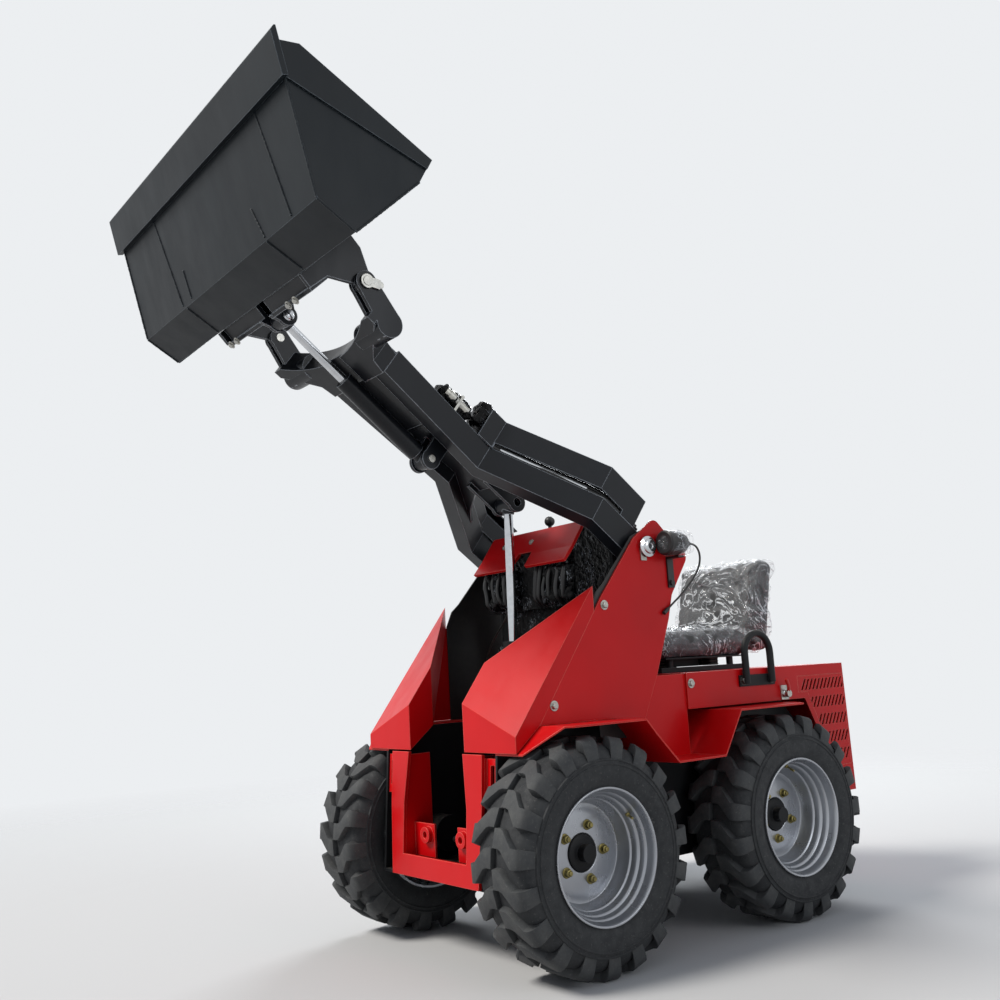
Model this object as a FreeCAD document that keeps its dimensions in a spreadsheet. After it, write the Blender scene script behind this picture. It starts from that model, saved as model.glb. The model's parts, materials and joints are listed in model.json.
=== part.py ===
import FreeCAD, Part
import Sketcher
import math
import os
import re

from FreeCAD import Rotation, Vector

# Skid steer loader: four wheels, a red body with a tilting rear hood and seat, and a
# wishbone boom that carries a bucket, drawn with the boom fully raised.
#
# Frame: X forward, Y to the left, Z up, millimetres. Sketches measure X from the front
# axle and Z from the ground. Every finished piece is moved by frame_shift along X, which
# puts the origin on the ground, under the middle of the whole machine.

os.makedirs("parts", exist_ok=True)
document = FreeCAD.newDocument("loader")
sheet = document.addObject("Spreadsheet::Sheet", "Sizes")

aliases = []
finished = []


def add_sizes(sizes):
    """Write named sizes into the sheet, one cell each, with the name as the cell's alias."""
    for name, number in sizes.items():
        cell = "A%d" % (len(aliases) + 1)
        sheet.set(cell, str(number))
        sheet.setAlias(cell, name)
        aliases.append(name)
    sheet.recompute()


def bound(text):
    """Turn the plain names in a formula into references to the sheet."""
    return re.sub(r"[a-z][a-z_0-9]*",
                  lambda word: "Sizes." + word.group() if word.group() in aliases else word.group(),
                  text)


def size(text):
    """The number that a formula of named sizes gives."""
    return float(sheet.evalExpression(bound(text)))


def tie(thing, setting, text):
    thing.setExpression(setting, bound(text))


def draw(sketch, points, closed=True):
    """Draw straight lines through points given as (across, up) formulas, each tied to the sheet."""
    places = [Vector(size(across), size(up), 0) for across, up in points]
    count = len(places)
    lines = count if closed else count - 1
    for index in range(lines):
        sketch.addGeometry(Part.LineSegment(places[index], places[(index + 1) % count]))
    for index in range(lines if closed else lines - 1):
        sketch.addConstraint(Sketcher.Constraint("Coincident", index, 2, (index + 1) % lines, 1))
    ends = [(index, 1) for index in range(lines)] + ([] if closed else [(lines - 1, 2)])
    for (line, end), place, formulas in zip(ends, places, points):
        for kind, number, formula in (("DistanceX", place.x, formulas[0]), ("DistanceY", place.y, formulas[1])):
            row = sketch.addConstraint(Sketcher.Constraint(kind, -1, 1, line, end, number))
            if bound(formula) != formula:
                sketch.setExpression("Constraints[%d]" % row, bound(formula))


def new_sketch(body, name, plane, height):
    """An empty sketch on one of the body's own planes, moved along its normal by height."""
    sketch = body.newObject("Sketcher::SketchObject", name)
    role = [item for item in body.Origin.OriginFeatures if item.Role == plane + "_Plane"][0]
    sketch.AttachmentSupport = [(role, "")]
    sketch.MapMode = "FlatFace"
    tie(sketch, "AttachmentOffset.Base.z", height)
    return sketch


def new_body(name):
    return document.addObject("PartDesign::Body", name)


def layer(plane, low, high):
    """Where a sketch lies, so that its pad runs from low to high along the plane's axis."""
    return "-(" + high + ")" if plane == "XZ" else low


def pad(body, name, plane, points, low, high):
    """Add the outline as a solid between two heights across its plane."""
    sketch = new_sketch(body, name + "_outline", plane, layer(plane, low, high))
    draw(sketch, points)
    feature = body.newObject("PartDesign::Pad", name)
    feature.Profile = sketch
    tie(feature, "Length", "(" + high + ") - (" + low + ")")
    return feature


def pocket(body, name, plane, points, low, high):
    """Take the outline away between two heights across its plane."""
    sketch = new_sketch(body, name + "_outline", plane, layer(plane, low, high))
    draw(sketch, points)
    feature = body.newObject("PartDesign::Pocket", name)
    feature.Profile = sketch
    feature.Reversed = True
    tie(feature, "Length", "(" + high + ") - (" + low + ")")
    return feature


def row_of(body, feature, sketch, pitch, count):
    """Repeat a pocket along its sketch's across axis, away from the front."""
    document.recompute()
    pattern = body.newObject("PartDesign::LinearPattern", feature.Name + "_row")
    pattern.Originals = [feature]
    pattern.Direction = (sketch, ["H_Axis"])
    pattern.Reversed = True
    tie(pattern, "Length", "%s * (%d - 1)" % (pitch, count))
    pattern.Occurrences = count
    body.Tip = pattern
    return pattern


def round_edges(body, name, corners, radius, plane="XZ"):
    """Round the edges across the plane that pass through the given corners."""
    document.recompute()
    axis = {"XZ": 1, "XY": 2, "YZ": 0}[plane]
    keep = [index for index in range(3) if index != axis]
    wanted = [(size(across), size(up)) for across, up in corners]
    names = []
    for number, edge in enumerate(body.Shape.Edges, 1):
        start, end = edge.Vertexes[0].Point, edge.Vertexes[-1].Point
        along = abs((end - start)[axis])
        if along < 1 or edge.Length - along > 0.01:
            continue
        if any(math.hypot(start[keep[0]] - across, start[keep[1]] - up) < 0.5 for across, up in wanted):
            names.append("Edge%d" % number)
    base = body.Tip
    feature = body.newObject("PartDesign::Fillet", name)
    feature.Base = (base, names)
    tie(feature, "Radius", radius)
    return feature


def block(name, low, high):
    """A box between two corners, each given as three formulas."""
    thing = document.addObject("Part::Box", name)
    for side, near, far in zip(("Length", "Width", "Height"), low, high):
        tie(thing, side, "(" + far + ") - (" + near + ")")
    for letter, near in zip("xyz", low):
        tie(thing, "Placement.Base." + letter, near)
    return thing


TURNS = {"X": "rotation(vector(0; 1; 0); 90)", "Y": "rotation(vector(1; 0; 0); -90)", "Z": "rotation(vector(0; 0; 1); 0)"}


def rod(name, axis, start, length, radius):
    """A cylinder from a start point along X, Y or Z."""
    thing = document.addObject("Part::Cylinder", name)
    tie(thing, "Radius", radius)
    tie(thing, "Height", length)
    tie(thing, "Placement", "placement(vector(%s; %s; %s); %s)" % (*start, TURNS[axis]))
    return thing


def joined(name, things):
    fuse = document.addObject("Part::MultiFuse", name)
    fuse.Shapes = things
    return fuse


def cut(name, thing, tools):
    tool = tools[0] if len(tools) == 1 else joined(name + "_tools", tools)
    result = document.addObject("Part::Cut", name)
    result.Base = thing
    result.Tool = tool
    return result


def mirror(name, thing):
    """The same piece on the other side of the machine."""
    copy = document.addObject("Part::Mirroring", name)
    copy.Source = thing
    copy.Normal = (0, 1, 0)
    return copy


def collected(name, things):
    """Separate solids as one sub-part."""
    group = document.addObject("Part::Compound", name)
    group.Links = things
    return group


def both_sides(name, thing):
    """A piece and its mirror image, as separate solids of one sub-part."""
    return collected(name, [thing, mirror(name + "_far", thing)])


def finish(label, thing, place=None):
    """Name a finished sub-part and put it at its place in the machine's frame."""
    if not place and thing.TypeId in ("Part::Box", "Part::Cylinder"):
        thing = collected(label + "_piece", [thing])
    thing.Label = label
    if place:
        tie(thing, "Placement", place)
    else:
        tie(thing, "Placement.Base.x", "frame_shift")
    finished.append(thing)
    return thing


def finish_mirror(label, thing):
    """Name the mirror image of a sub-part that is already in its place."""
    copy = mirror(label + "_mirror", thing)
    copy.Label = label
    finished.append(copy)
    return copy


def polyhedron(name, corners, faces):
    """A flat-faced solid from named corners and the order of corners round each face."""
    shell = Part.makeShell([Part.Face(Part.makePolygon([corners[key] for key in face + face[0]])) for face in faces])
    thing = document.addObject("Part::Feature", name)
    thing.Shape = Part.makeSolid(shell)
    if thing.Shape.Volume < 0:
        thing.Shape = thing.Shape.reversed()
    return thing


# Main sizes of the machine.
add_sizes({
    "frame_shift": 168.5,  # the front axle stands this far ahead of the origin
    "wheelbase": 771,  # front axle to rear axle
    "tyre_radius": 292,  # over the lugs, and the height of both axles
    "tyre_width": 216,  # over the shoulders
    "wheel_y": 395,  # middle of a tyre from the middle of the machine
    "body_y": 362,  # outer face of the tower plates and of the hood
    "plate_wall": 6,  # thickness of the red body plates
    "fender_y": 480,  # outer edge of the fenders
    "fender_top": 612,  # height of the fenders over the tyres
    "step_z": 492,  # height of the foot well
    "pivot_x": -346,  # boom pivot behind the front axle
    "pivot_z": 1090,  # height of the boom pivot
    "boom_angle": 37.4,  # rise of the raised boom
    "running_gap": 0.05,  # radial clearance of a pin in its bore
    "seam": 0.3,  # gap between a cover and the piece beside it
})


# Wheels: tyre with chevron lugs, and a rim with a dished disc that carries five studs.
add_sizes({
    "lug_height": 20,  # lug above the tyre's tread
    "tread_half": 84,  # half the flat of the tread
    "sidewall_radius": 214,  # radius where the sidewall is widest
    "bead_radius": 158,  # radius where the tyre sits on the rim
    "bead_half": 92,  # half the width over the beads
    "lug_thick": 26,  # lug along the tread
    "lug_angle": 42,  # lug away from the wheel's axis
    "lug_count": 15,  # lugs on each side of the tread
    "rim_lip": 167.5,  # radius of the rim's lip
    "rim_lip_half": 98,  # half the width over the rim's lips
    "rim_well": 140,  # radius of the rim's well
    "rim_wall": 5,  # thickness of the rim
    "disc_out": 20,  # outer face of the wheel disc outward of the tyre's middle
    "disc_wall": 8,  # thickness of the wheel disc
    "hub_radius": 92,  # radius of the hub flange behind the disc
    "hub_wall": 14,  # thickness of the hub flange
    "hub_nose": 34,  # hub flange, disc and nose together along the axle
    "hub_nose_radius": 44,  # radius of the nose in the middle of the disc
    "axle_radius": 22,  # radius of the motor's shaft in the hub
    "stud_circle": 69.85,  # radius of the circle of wheel studs
    "stud_radius": 6,  # radius of a wheel stud
    "nut_radius": 12,  # radius over a wheel nut's corners
    "nut_height": 14,  # height of a wheel nut
    "stud_count": 5,  # wheel studs
})

tyre = new_body("tyre")
carcass = new_sketch(tyre, "tyre_section", "XY", "0")
tread = "tyre_radius - lug_height"
draw(carcass, [
    ("bead_radius", "-bead_half + 2"), ("rim_lip + 3", "-bead_half"), ("sidewall_radius - 20", "-tyre_width / 2"),
    ("sidewall_radius + 26", "-tyre_width / 2"), (tread + " - 6", "-tread_half - 8"),
    (tread, "-tread_half + 24"), (tread, "tread_half - 24"),
    (tread + " - 6", "tread_half + 8"), ("sidewall_radius + 26", "tyre_width / 2"),
    ("sidewall_radius - 20", "tyre_width / 2"), ("rim_lip + 3", "bead_half"), ("bead_radius", "bead_half - 2"),
])
turned = tyre.newObject("PartDesign::Revolution", "tyre_carcass")
turned.Profile = carcass
turned.ReferenceAxis = (carcass, ["V_Axis"])
turned.Angle = 360
document.recompute()


def lug_shape():
    """One lug bar of the tread: from near the middle to the shoulder, its top on the tyre's radius."""
    reach = size("tyre_width") / 2 - 2
    thick = size("lug_thick") / 2
    slant = math.tan(math.radians(size("lug_angle")))
    top = size("tyre_radius")
    root = top - size("lug_height") - 8
    bars = []
    outline = [(6, 0), (reach - 22, 1), (reach, 1)]
    for side in (1, -1):
        low, high = [], []
        for across, bend in outline:
            shift = slant * (min(across, reach - 22) - 6) * 0.8
            low.append((side * across, shift))
            high.append((side * across, shift + 2 * thick))
        ring = low + high[::-1]
        base = Part.makePolygon([Vector(root - 30, y, z) for y, z in ring + ring[:1]])
        bar = Part.Face(base).extrude(Vector(top - root + 30, 0, 0))
        bar.rotate(Vector(), Vector(0, 1, 0), 180 / size("lug_count") if side < 0 else 0)
        bars.append(bar)
    return bars


def tyre_with_lugs():
    """The carcass fused with its ring of lugs, their tops and ends trimmed to the tyre's section."""
    top = size("tyre_radius")
    half = size("tyre_width") / 2
    rise = size("sidewall_radius") + 30
    profile = [(rise - 60, -half - 2), (rise - 10, -half - 2), (top - 14, -half + 8), (top, -half + 22),
               (top, half - 22), (top - 14, half - 8), (rise - 10, half + 2), (rise - 60, half + 2)]
    ring = Part.makePolygon([Vector(across, up, 0) for across, up in profile + profile[:1]])
    limit = Part.Face(ring).revolve(Vector(), Vector(0, 1, 0), 360)
    step = 360 / size("lug_count")
    bars = []
    for bar in lug_shape():
        trimmed = bar.common(limit)
        for index in range(int(size("lug_count"))):
            copy = trimmed.copy()
            copy.rotate(Vector(), Vector(0, 1, 0), index * step)
            bars.append(copy)
    return tyre.Shape.fuse(bars).removeSplitter()


lugged = document.addObject("Part::Feature", "tyre_form")
lugged.Shape = tyre_with_lugs()

rim = new_body("rim_barrel")
section = new_sketch(rim, "rim_section", "XY", "0")
draw(section, [
    ("rim_lip", "-rim_lip_half"), ("rim_lip", "-rim_lip_half + rim_wall"),
    ("bead_radius - 1", "-bead_half + 2"), ("bead_radius - 1", "-bead_half + 28"), ("rim_well", "-28"),
    ("rim_well", "28"), ("bead_radius - 1", "bead_half - 28"), ("bead_radius - 1", "bead_half - 2"),
    ("rim_lip", "rim_lip_half - rim_wall"), ("rim_lip", "rim_lip_half"),
    ("bead_radius - 1 - rim_wall", "rim_lip_half"), ("bead_radius - 1 - rim_wall", "bead_half - 30"),
    ("rim_well - rim_wall", "26"), ("rim_well - rim_wall", "-26"),
    ("bead_radius - 1 - rim_wall", "-bead_half + 30"), ("bead_radius - 1 - rim_wall", "-rim_lip_half"),
])
barrel = rim.newObject("PartDesign::Revolution", "rim_turned")
barrel.Profile = section
barrel.ReferenceAxis = (section, ["V_Axis"])
barrel.Angle = 360

disc = new_body("rim_disc")
face = new_sketch(disc, "disc_section", "XY", "0")
back = "disc_out - disc_wall"
draw(face, [
    ("axle_radius + running_gap", back + " - hub_wall"), ("hub_radius", back + " - hub_wall"),
    ("hub_radius", back), ("rim_well - rim_wall + 2", back + " - 6"),
    ("rim_well - rim_wall + 2", "disc_out - 6"), ("hub_radius + 12", "disc_out"),
    ("hub_nose_radius", "disc_out"), ("hub_nose_radius - 4", back + " - hub_wall + hub_nose"),
    ("axle_radius + running_gap", back + " - hub_wall + hub_nose"),
])
dish = disc.newObject("PartDesign::Revolution", "disc_turned")
dish.Profile = face
dish.ReferenceAxis = (face, ["V_Axis"])
dish.Angle = 360

nuts = []
for index in range(int(size("stud_count"))):
    nut = document.addObject("Part::Prism", "wheel_nut")
    nut.Polygon = 6
    tie(nut, "Circumradius", "nut_radius")
    tie(nut, "Height", "nut_height")
    turn = "(%d * 360 / stud_count)" % index
    tie(nut, "Placement", "placement(vector(stud_circle * cos(%s); disc_out; stud_circle * sin(%s)); %s)"
        % (turn, turn, TURNS["Y"]))
    nuts.append(nut)
wheel = joined("rim_form", [rim, disc] + nuts)
document.recompute()

for label, along, side in (("front_left", "0", 1), ("front_right", "0", -1),
                           ("rear_left", "-wheelbase", 1), ("rear_right", "-wheelbase", -1)):
    for kind, form in (("rim", wheel), ("tyre", lugged)):
        piece = document.addObject("Part::Feature", kind + "_" + label)
        piece.Shape = form.Shape
        turn = 0 if side > 0 else 180
        finish(kind + "_" + label, piece,
               "placement(vector(frame_shift + %s; %d * wheel_y; tyre_radius); rotation(vector(0; 0; 1); %d))"
               % (along, side, turn))

# Lower frame: a tub between the wheels that follows the fenders' line.
add_sizes({
    "frame_y": 275,  # outer face of the lower frame
    "frame_wall": 8,  # thickness of the lower frame
    "belly_z": 205,  # underside of the lower frame
    "fender_sheet": 5,  # thickness of the fender sheet
    "front_foot_x": 165,  # front end of the fender line
    "front_foot_z": 547,  # height of the fender at its front end
    "front_crest_x": 88,  # front end of the level part over the front wheel
    "front_rest_x": -179,  # rear end of the level part over the front wheel
    "step_front_x": -292,  # front end of the foot well's floor
    "step_rear_x": -478,  # rear end of the foot well's floor
    "rear_crest_x": -560,  # front end of the level part over the rear wheel
    "rear_end_x": -905,  # rear end of the fender
    "frame_rear_x": -1190,  # rear end of the lower frame
    "floor_front_x": -185,  # front end of the foot well's floor plate
    "front_foot_plate_x": 200,  # foot of the front plate
    "front_foot_plate_z": 208,  # its height
    "front_lean": 3.887,  # lean of the front plate
    "front_wall": 10,  # thickness of the front plate
})


def behind_front(height):
    """How far forward a piece reaches at a height, up to the back of the leaning front plate."""
    return ("front_foot_plate_x - (%s - front_foot_plate_z) * tan(front_lean) - front_wall / cos(front_lean) - seam"
            % height)


under = " - fender_sheet / 2"
line = [
    ("front_foot_x", "front_foot_z"), ("front_crest_x", "fender_top"), ("front_rest_x", "fender_top"),
    ("front_rest_x - 32", "fender_top - 37"), ("step_front_x", "step_z"), ("step_rear_x", "step_z"),
    ("rear_crest_x", "fender_top"),
]
below = [(across, up + under + " - seam") for across, up in line]
tub = new_body("frame_tub")
pad(tub, "tub_outside", "XZ", [
    (behind_front("belly_z"), "belly_z"), *below, ("frame_rear_x + 190", below[-1][1]), ("frame_rear_x", "belly_z + 210"),
    ("frame_rear_x", "belly_z + 30"), ("frame_rear_x + 40", "belly_z"),
], "-frame_y", "frame_y")
pocket(tub, "tub_inside", "XZ", [
    ("front_foot_plate_x", "belly_z + frame_wall"), ("front_foot_plate_x", "fender_top + 50"),
    ("frame_rear_x + frame_wall", "fender_top + 50"), ("frame_rear_x + frame_wall", "belly_z + 34"),
    ("frame_rear_x + frame_wall + 38", "belly_z + frame_wall"),
], "-frame_y + frame_wall", "frame_y - frame_wall")

# Wheel motors: a stepped housing bolted to each side of the tub, and the shaft that carries a wheel.
add_sizes({
    "motor_radius": 52,  # radius of a wheel motor
    "motor_flange_radius": 66,  # radius of the motor's flange
    "motor_flange": 9,  # thickness of the motor's flange
    "motor_out": 372,  # outer end of the motor's housing from the machine's middle
    "motor_in": 200,  # inner end of the motor from the machine's middle
})
motors = []
holes = []
for end, along in (("front", "0"), ("rear", "-wheelbase")):
    pieces = [
        rod("motor_case_" + end, "Y", (along, "motor_in", "tyre_radius"), "motor_out - motor_in", "motor_radius"),
        rod("motor_flange_" + end, "Y", (along, "frame_y", "tyre_radius"), "motor_flange", "motor_flange_radius"),
        rod("motor_shaft_" + end, "Y", (along, "motor_in", "tyre_radius"),
            "wheel_y + disc_out - disc_wall - hub_wall + hub_nose - 4 - motor_in", "axle_radius"),
    ]
    motors.append(joined("motor_" + end, pieces))
    holes.append(rod("motor_hole_" + end, "Y", (along, "-frame_y - 5", "tyre_radius"), "2 * frame_y + 10",
                     "motor_radius + running_gap"))
finish("main_frame", cut("frame_with_holes", tub, holes))
for end, motor in zip(("front", "rear"), motors):
    finish("wheel_motors_" + end, both_sides("motors_" + end, motor))

# Fenders: one folded sheet each side, from the front slope over both wheels, with the step between.
def strip(body, name, points, low, high):
    """A folded sheet as a closed outline: the line raised and lowered by half the sheet."""
    above = [(across, up + " + fender_sheet / 2") for across, up in points]
    lower = [(across, up + " - fender_sheet / 2") for across, up in points]
    return pad(body, name, "XZ", above + lower[::-1], low, high)


fender = new_body("fender")
strip(fender, "fender_sheet_pad", line + [("rear_end_x", "fender_top")], "frame_y - frame_wall", "fender_y")
add_sizes({
    "fender_chamfer_y": 105,  # corner cut off the front end of the fender, across
    "fender_chamfer_x": 95,  # corner cut off the front end of the fender, along
    "fender_tail_y": 90,  # corner cut off the rear end of the fender, across
    "fender_tail_x": 60,  # corner cut off the rear end of the fender, along
})
pocket(fender, "fender_front_corner", "XY", [
    ("front_foot_x + 5", "fender_y - fender_chamfer_y"), ("front_foot_x + 5", "fender_y + 5"),
    ("front_foot_x - fender_chamfer_x", "fender_y + 5"), ("front_foot_x - fender_chamfer_x", "fender_y"),
], "step_z - 50", "fender_top + 50")
pocket(fender, "fender_rear_corner", "XY", [
    ("rear_end_x - 5", "fender_y - fender_tail_y"), ("rear_end_x - 5", "fender_y + 5"),
    ("rear_end_x + fender_tail_x", "fender_y + 5"), ("rear_end_x + fender_tail_x", "fender_y"),
], "step_z - 50", "fender_top + 50")
left = finish("fender_left", fender)
finish_mirror("fender_right", left)

# Foot well floor between the two fenders.
floor = block("floor_plate", ("step_rear_x", "-frame_y + frame_wall + seam", "step_z - fender_sheet / 2"),
              ("floor_front_x", "frame_y - frame_wall - seam", "step_z + fender_sheet / 2"))
finish("foot_well_floor", floor)

# Tower plates: one tall red plate each side, which carries the boom's pivot.
add_sizes({
    "tower_edge_x": -158,  # top of the long front edge of a tower plate
    "tower_edge_z": 948,  # its height
    "tower_shoulder_x": -300,  # front of the tower's peak
    "tower_shoulder_z": 1115,  # its height
    "tower_peak_x": -388,  # highest point of a tower plate
    "tower_peak_z": 1177,  # its height
    "tower_tail_x": -521,  # rearmost point of a tower plate
    "tower_tail_z": 1070,  # its height
    "tower_waist_x": -417,  # the waist of the rear edge
    "tower_waist_z": 882,  # its height
    "tower_foot_x": -255,  # foot of the rear edge on the fender
    "pivot_radius": 16,  # radius of the boom's pivot pins
    "pivot_head_radius": 23,  # radius of the head of a pivot pin
    "pivot_head": 8,  # thickness of the head
    "inner_plate_y": 266,  # inner face of the inner pivot plates
    "inner_plate_wall": 10,  # thickness of the inner pivot plates
    "inner_plate_front_x": -292,  # front edge of the inner pivot plates
    "inner_plate_rear_x": -402,  # rear edge of the inner pivot plates
    "tower_round": 26,  # rounding of the tower's peak
})
tower = new_body("tower_plate")
sheet_top = " + fender_sheet / 2 + 2 * seam"
foot_on_slope = ("step_z + (tower_foot_x - step_front_x) * (fender_top - 37 - step_z)"
                 " / (front_rest_x - 32 - step_front_x)")
pad(tower, "tower_plate_pad", "XZ", [
    ("front_crest_x", "fender_top" + sheet_top), ("tower_edge_x", "tower_edge_z"),
    ("tower_edge_x - 24", "tower_edge_z + 27"), ("tower_shoulder_x", "tower_shoulder_z"),
    ("tower_peak_x", "tower_peak_z"), ("tower_peak_x - 46", "tower_peak_z - 43"),
    ("tower_tail_x", "tower_tail_z"), ("tower_waist_x - 21", "tower_waist_z + 70"),
    ("tower_waist_x", "tower_waist_z"), ("tower_waist_x + 65", "tower_waist_z - 157"),
    ("tower_foot_x", foot_on_slope + sheet_top), ("front_rest_x - 32", "fender_top - 37" + sheet_top),
    ("front_rest_x", "fender_top" + sheet_top),
], "body_y - plate_wall", "body_y")
round_edges(tower, "tower_rounding", [("tower_peak_x", "tower_peak_z"), ("tower_tail_x", "tower_tail_z")], "tower_round")
pin_hole = rod("pivot_hole", "Y", ("pivot_x", "inner_plate_y - 20", "pivot_z"), "body_y", "pivot_radius + running_gap")
left = finish("tower_plate_left", cut("tower_left", tower, [pin_hole]))
finish_mirror("tower_plate_right", left)

inner = new_body("inner_plate")
pad(inner, "inner_plate_pad", "XZ", [
    ("inner_plate_front_x", "step_z + fender_sheet / 2 + seam"), ("inner_plate_front_x", "pivot_z + 8"),
    ("pivot_x + 24", "pivot_z + 40"), ("pivot_x - 24", "pivot_z + 40"),
    ("inner_plate_rear_x", "pivot_z + 8"), ("inner_plate_rear_x", "step_z + fender_sheet / 2 + seam"),
], "inner_plate_y", "inner_plate_y + inner_plate_wall")
finish("pivot_inner_plates", both_sides("inner_plates", cut("inner_plate_bored", inner, [pin_hole])))

shank = rod("pivot_shank", "Y", ("pivot_x", "inner_plate_y", "pivot_z"), "body_y + pivot_head - inner_plate_y",
            "pivot_radius")
head = rod("pivot_cap", "Y", ("pivot_x", "body_y", "pivot_z"), "pivot_head", "pivot_head_radius")
keeper = block("pivot_keeper", ("pivot_x + 4", "body_y", "pivot_z - 40"), ("pivot_x + 26", "body_y + 5", "pivot_z - 4"))
finish("boom_pivot_pins", both_sides("pivot_pins", joined("pivot_pin", [shank, head, keeper])))

# Front plate: it leans back, and its slot lets the lowered boom in.
add_sizes({
    "front_half": 210,  # half its width at the foot
    "column_half": 223,  # half its width under the pods
    "slot_half": 135,  # half the slot between the pods
    "slot_low_half": 155,  # half the slot at its foot
    "slot_low_z": 404,  # where the slot starts to narrow
    "notch_z": 266,  # floor of the slot
    "boss_y": 87,  # towing bosses from the middle
    "boss_z": 317,  # height of the towing bosses
    "boss_radius": 22,  # radius of a towing boss
    "boss_bore": 10,  # radius of the bore in a towing boss
    "notch_deep": 40,  # how far the towing bosses stand back
})
front_place = ("placement(vector(frame_shift + front_foot_plate_x; 0; front_foot_plate_z);"
               " rotation(vector(0; 1; 0); -front_lean))")
plate = new_body("front_plate_body")
rise = " - front_foot_plate_z"
pad(plate, "front_plate_pad", "YZ", [
    ("-front_half", "0"), ("front_half", "0"), ("column_half", "slot_low_z" + rise),
    ("column_half", "front_foot_z" + rise), ("slot_half", "front_foot_z" + rise),
    ("slot_low_half", "slot_low_z" + rise), ("slot_low_half", "notch_z" + rise),
    ("-slot_low_half", "notch_z" + rise), ("-slot_low_half", "slot_low_z" + rise),
    ("-slot_half", "front_foot_z" + rise), ("-column_half", "front_foot_z" + rise),
    ("-column_half", "slot_low_z" + rise),
], "-front_wall", "0")
finish("front_plate", plate, front_place)

# Tie-down plates: a slotted face on a short web, welded behind each column of the front plate.
add_sizes({
    "wing_back": 16,  # tie-down plates behind the front plate's back
    "wing_wall": 8,  # thickness of a tie-down plate
    "wing_low_z": 428,  # foot of a tie-down plate
    "wing_high_z": 538,  # its top
    "tie_slot_in": 238,  # inner edge of a tie-down slot
    "tie_slot_out": 256,  # outer edge of a tie-down slot
    "tie_slot_low_z": 452,  # foot of a tie-down slot
    "tie_slot_high_z": 520,  # top of a tie-down slot
})
wing = new_body("wing_body")
wing_out = "frame_y - frame_wall - seam"
wing_rear = "-front_wall - wing_back"
pad(wing, "wing_web", "YZ", [
    ("column_half - plate_wall", "wing_low_z" + rise), ("column_half - plate_wall", "wing_high_z" + rise),
    ("column_half", "wing_high_z" + rise), ("column_half", "wing_low_z" + rise)], wing_rear, "-front_wall")
pad(wing, "wing_face", "YZ", [
    ("column_half - plate_wall", "wing_low_z" + rise), ("column_half - plate_wall", "wing_high_z" + rise),
    (wing_out, "wing_high_z" + rise), (wing_out, "wing_low_z" + rise)], wing_rear, wing_rear + " + wing_wall")
pocket(wing, "tie_slot", "YZ", [
    ("tie_slot_in", "tie_slot_low_z" + rise), ("tie_slot_in", "tie_slot_high_z" + rise),
    ("tie_slot_out", "tie_slot_high_z" + rise), ("tie_slot_out", "tie_slot_low_z" + rise)],
       wing_rear + " - 1", wing_rear + " + wing_wall + 1")
finish("tie_down_plates", both_sides("wings", wing), front_place)

# Cheeks of the slot: they tie the front plate to the tub and carry the towing bosses.
cheek = new_body("slot_cheek")
pad(cheek, "slot_cheek_pad", "XZ", [
    (behind_front("(notch_z - 10)"), "notch_z - 10"), (behind_front("(front_foot_z - 10)"), "front_foot_z - 10"),
    ("front_foot_x - 75", "front_foot_z - 10"),
    ("front_foot_x - 75", "notch_z - 10"),
], "slot_low_half + 2", "slot_low_half + 2 + plate_wall")
shelf = block("boss_plate", ("front_foot_plate_x - front_wall - 5 - notch_deep", "boss_y - 30", "notch_z - 10"),
              ("front_foot_plate_x - front_wall - 5 - notch_deep + plate_wall", "slot_low_half + 4", "boss_z + 30"))
boss = rod("towing_boss", "X", ("front_foot_plate_x - front_wall - 5 - notch_deep", "boss_y", "boss_z"), "20",
           "boss_radius")
bore = rod("towing_bore", "X", ("front_foot_plate_x - front_wall - notch_deep - 20", "boss_y", "boss_z"), "60",
           "boss_bore")
side = cut("slot_side", joined("slot_side_form", [cheek, shelf, boss]), [bore])
finish("slot_cheeks", both_sides("slot_sides", side))

# Pods: closed covers between the tower plates and the slot, with a top that slopes down forwards and outwards.
add_sizes({
    "pod_front_x": 170,  # front face of the pods
    "pod_corner_z": 679,  # height of the inner front corner
    "pod_bend_x": 88,  # where the inner wall turns outwards
    "pod_tail_x": -128,  # rear outer corner of the pods
    "pod_fall": 1.29,  # fall of the top for each step forwards
    "pod_side_fall": 0.382,  # fall of the top for each step outwards
})


def pod_top(x, y):
    return size("pod_corner_z") - size("pod_fall") * (x - size("pod_front_x")) - size("pod_side_fall") * (y - size("slot_half"))


front_x, bend_x, tail_x = size("pod_front_x"), size("pod_bend_x"), size("pod_tail_x")
in_y, out_y = size("slot_half"), size("body_y")
low_front = size("front_foot_z" + sheet_top)
low_bend = size("fender_top" + sheet_top)
edge_rise = (size("tower_edge_z") - low_bend) / (size("tower_edge_x") - bend_x)
low_tail = low_bend + edge_rise * (tail_x - bend_x)
pod_corners = {
    "a": Vector(front_x, in_y, pod_top(front_x, in_y)), "b": Vector(bend_x, in_y, pod_top(bend_x, in_y)),
    "c": Vector(tail_x, out_y, pod_top(tail_x, out_y)), "d": Vector(front_x, out_y, pod_top(front_x, out_y)),
    "e": Vector(front_x, in_y, low_front), "f": Vector(bend_x, in_y, low_bend),
    "g": Vector(tail_x, out_y, low_tail), "i": Vector(bend_x, out_y, low_bend), "j": Vector(front_x, out_y, low_front),
}
pod = polyhedron("pod", pod_corners, ["abcd", "aefb", "bfgc", "cgijd", "adje", "efij", "fgi"])
left = finish("pod_left", pod)
finish_mirror("pod_right", left)

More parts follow.
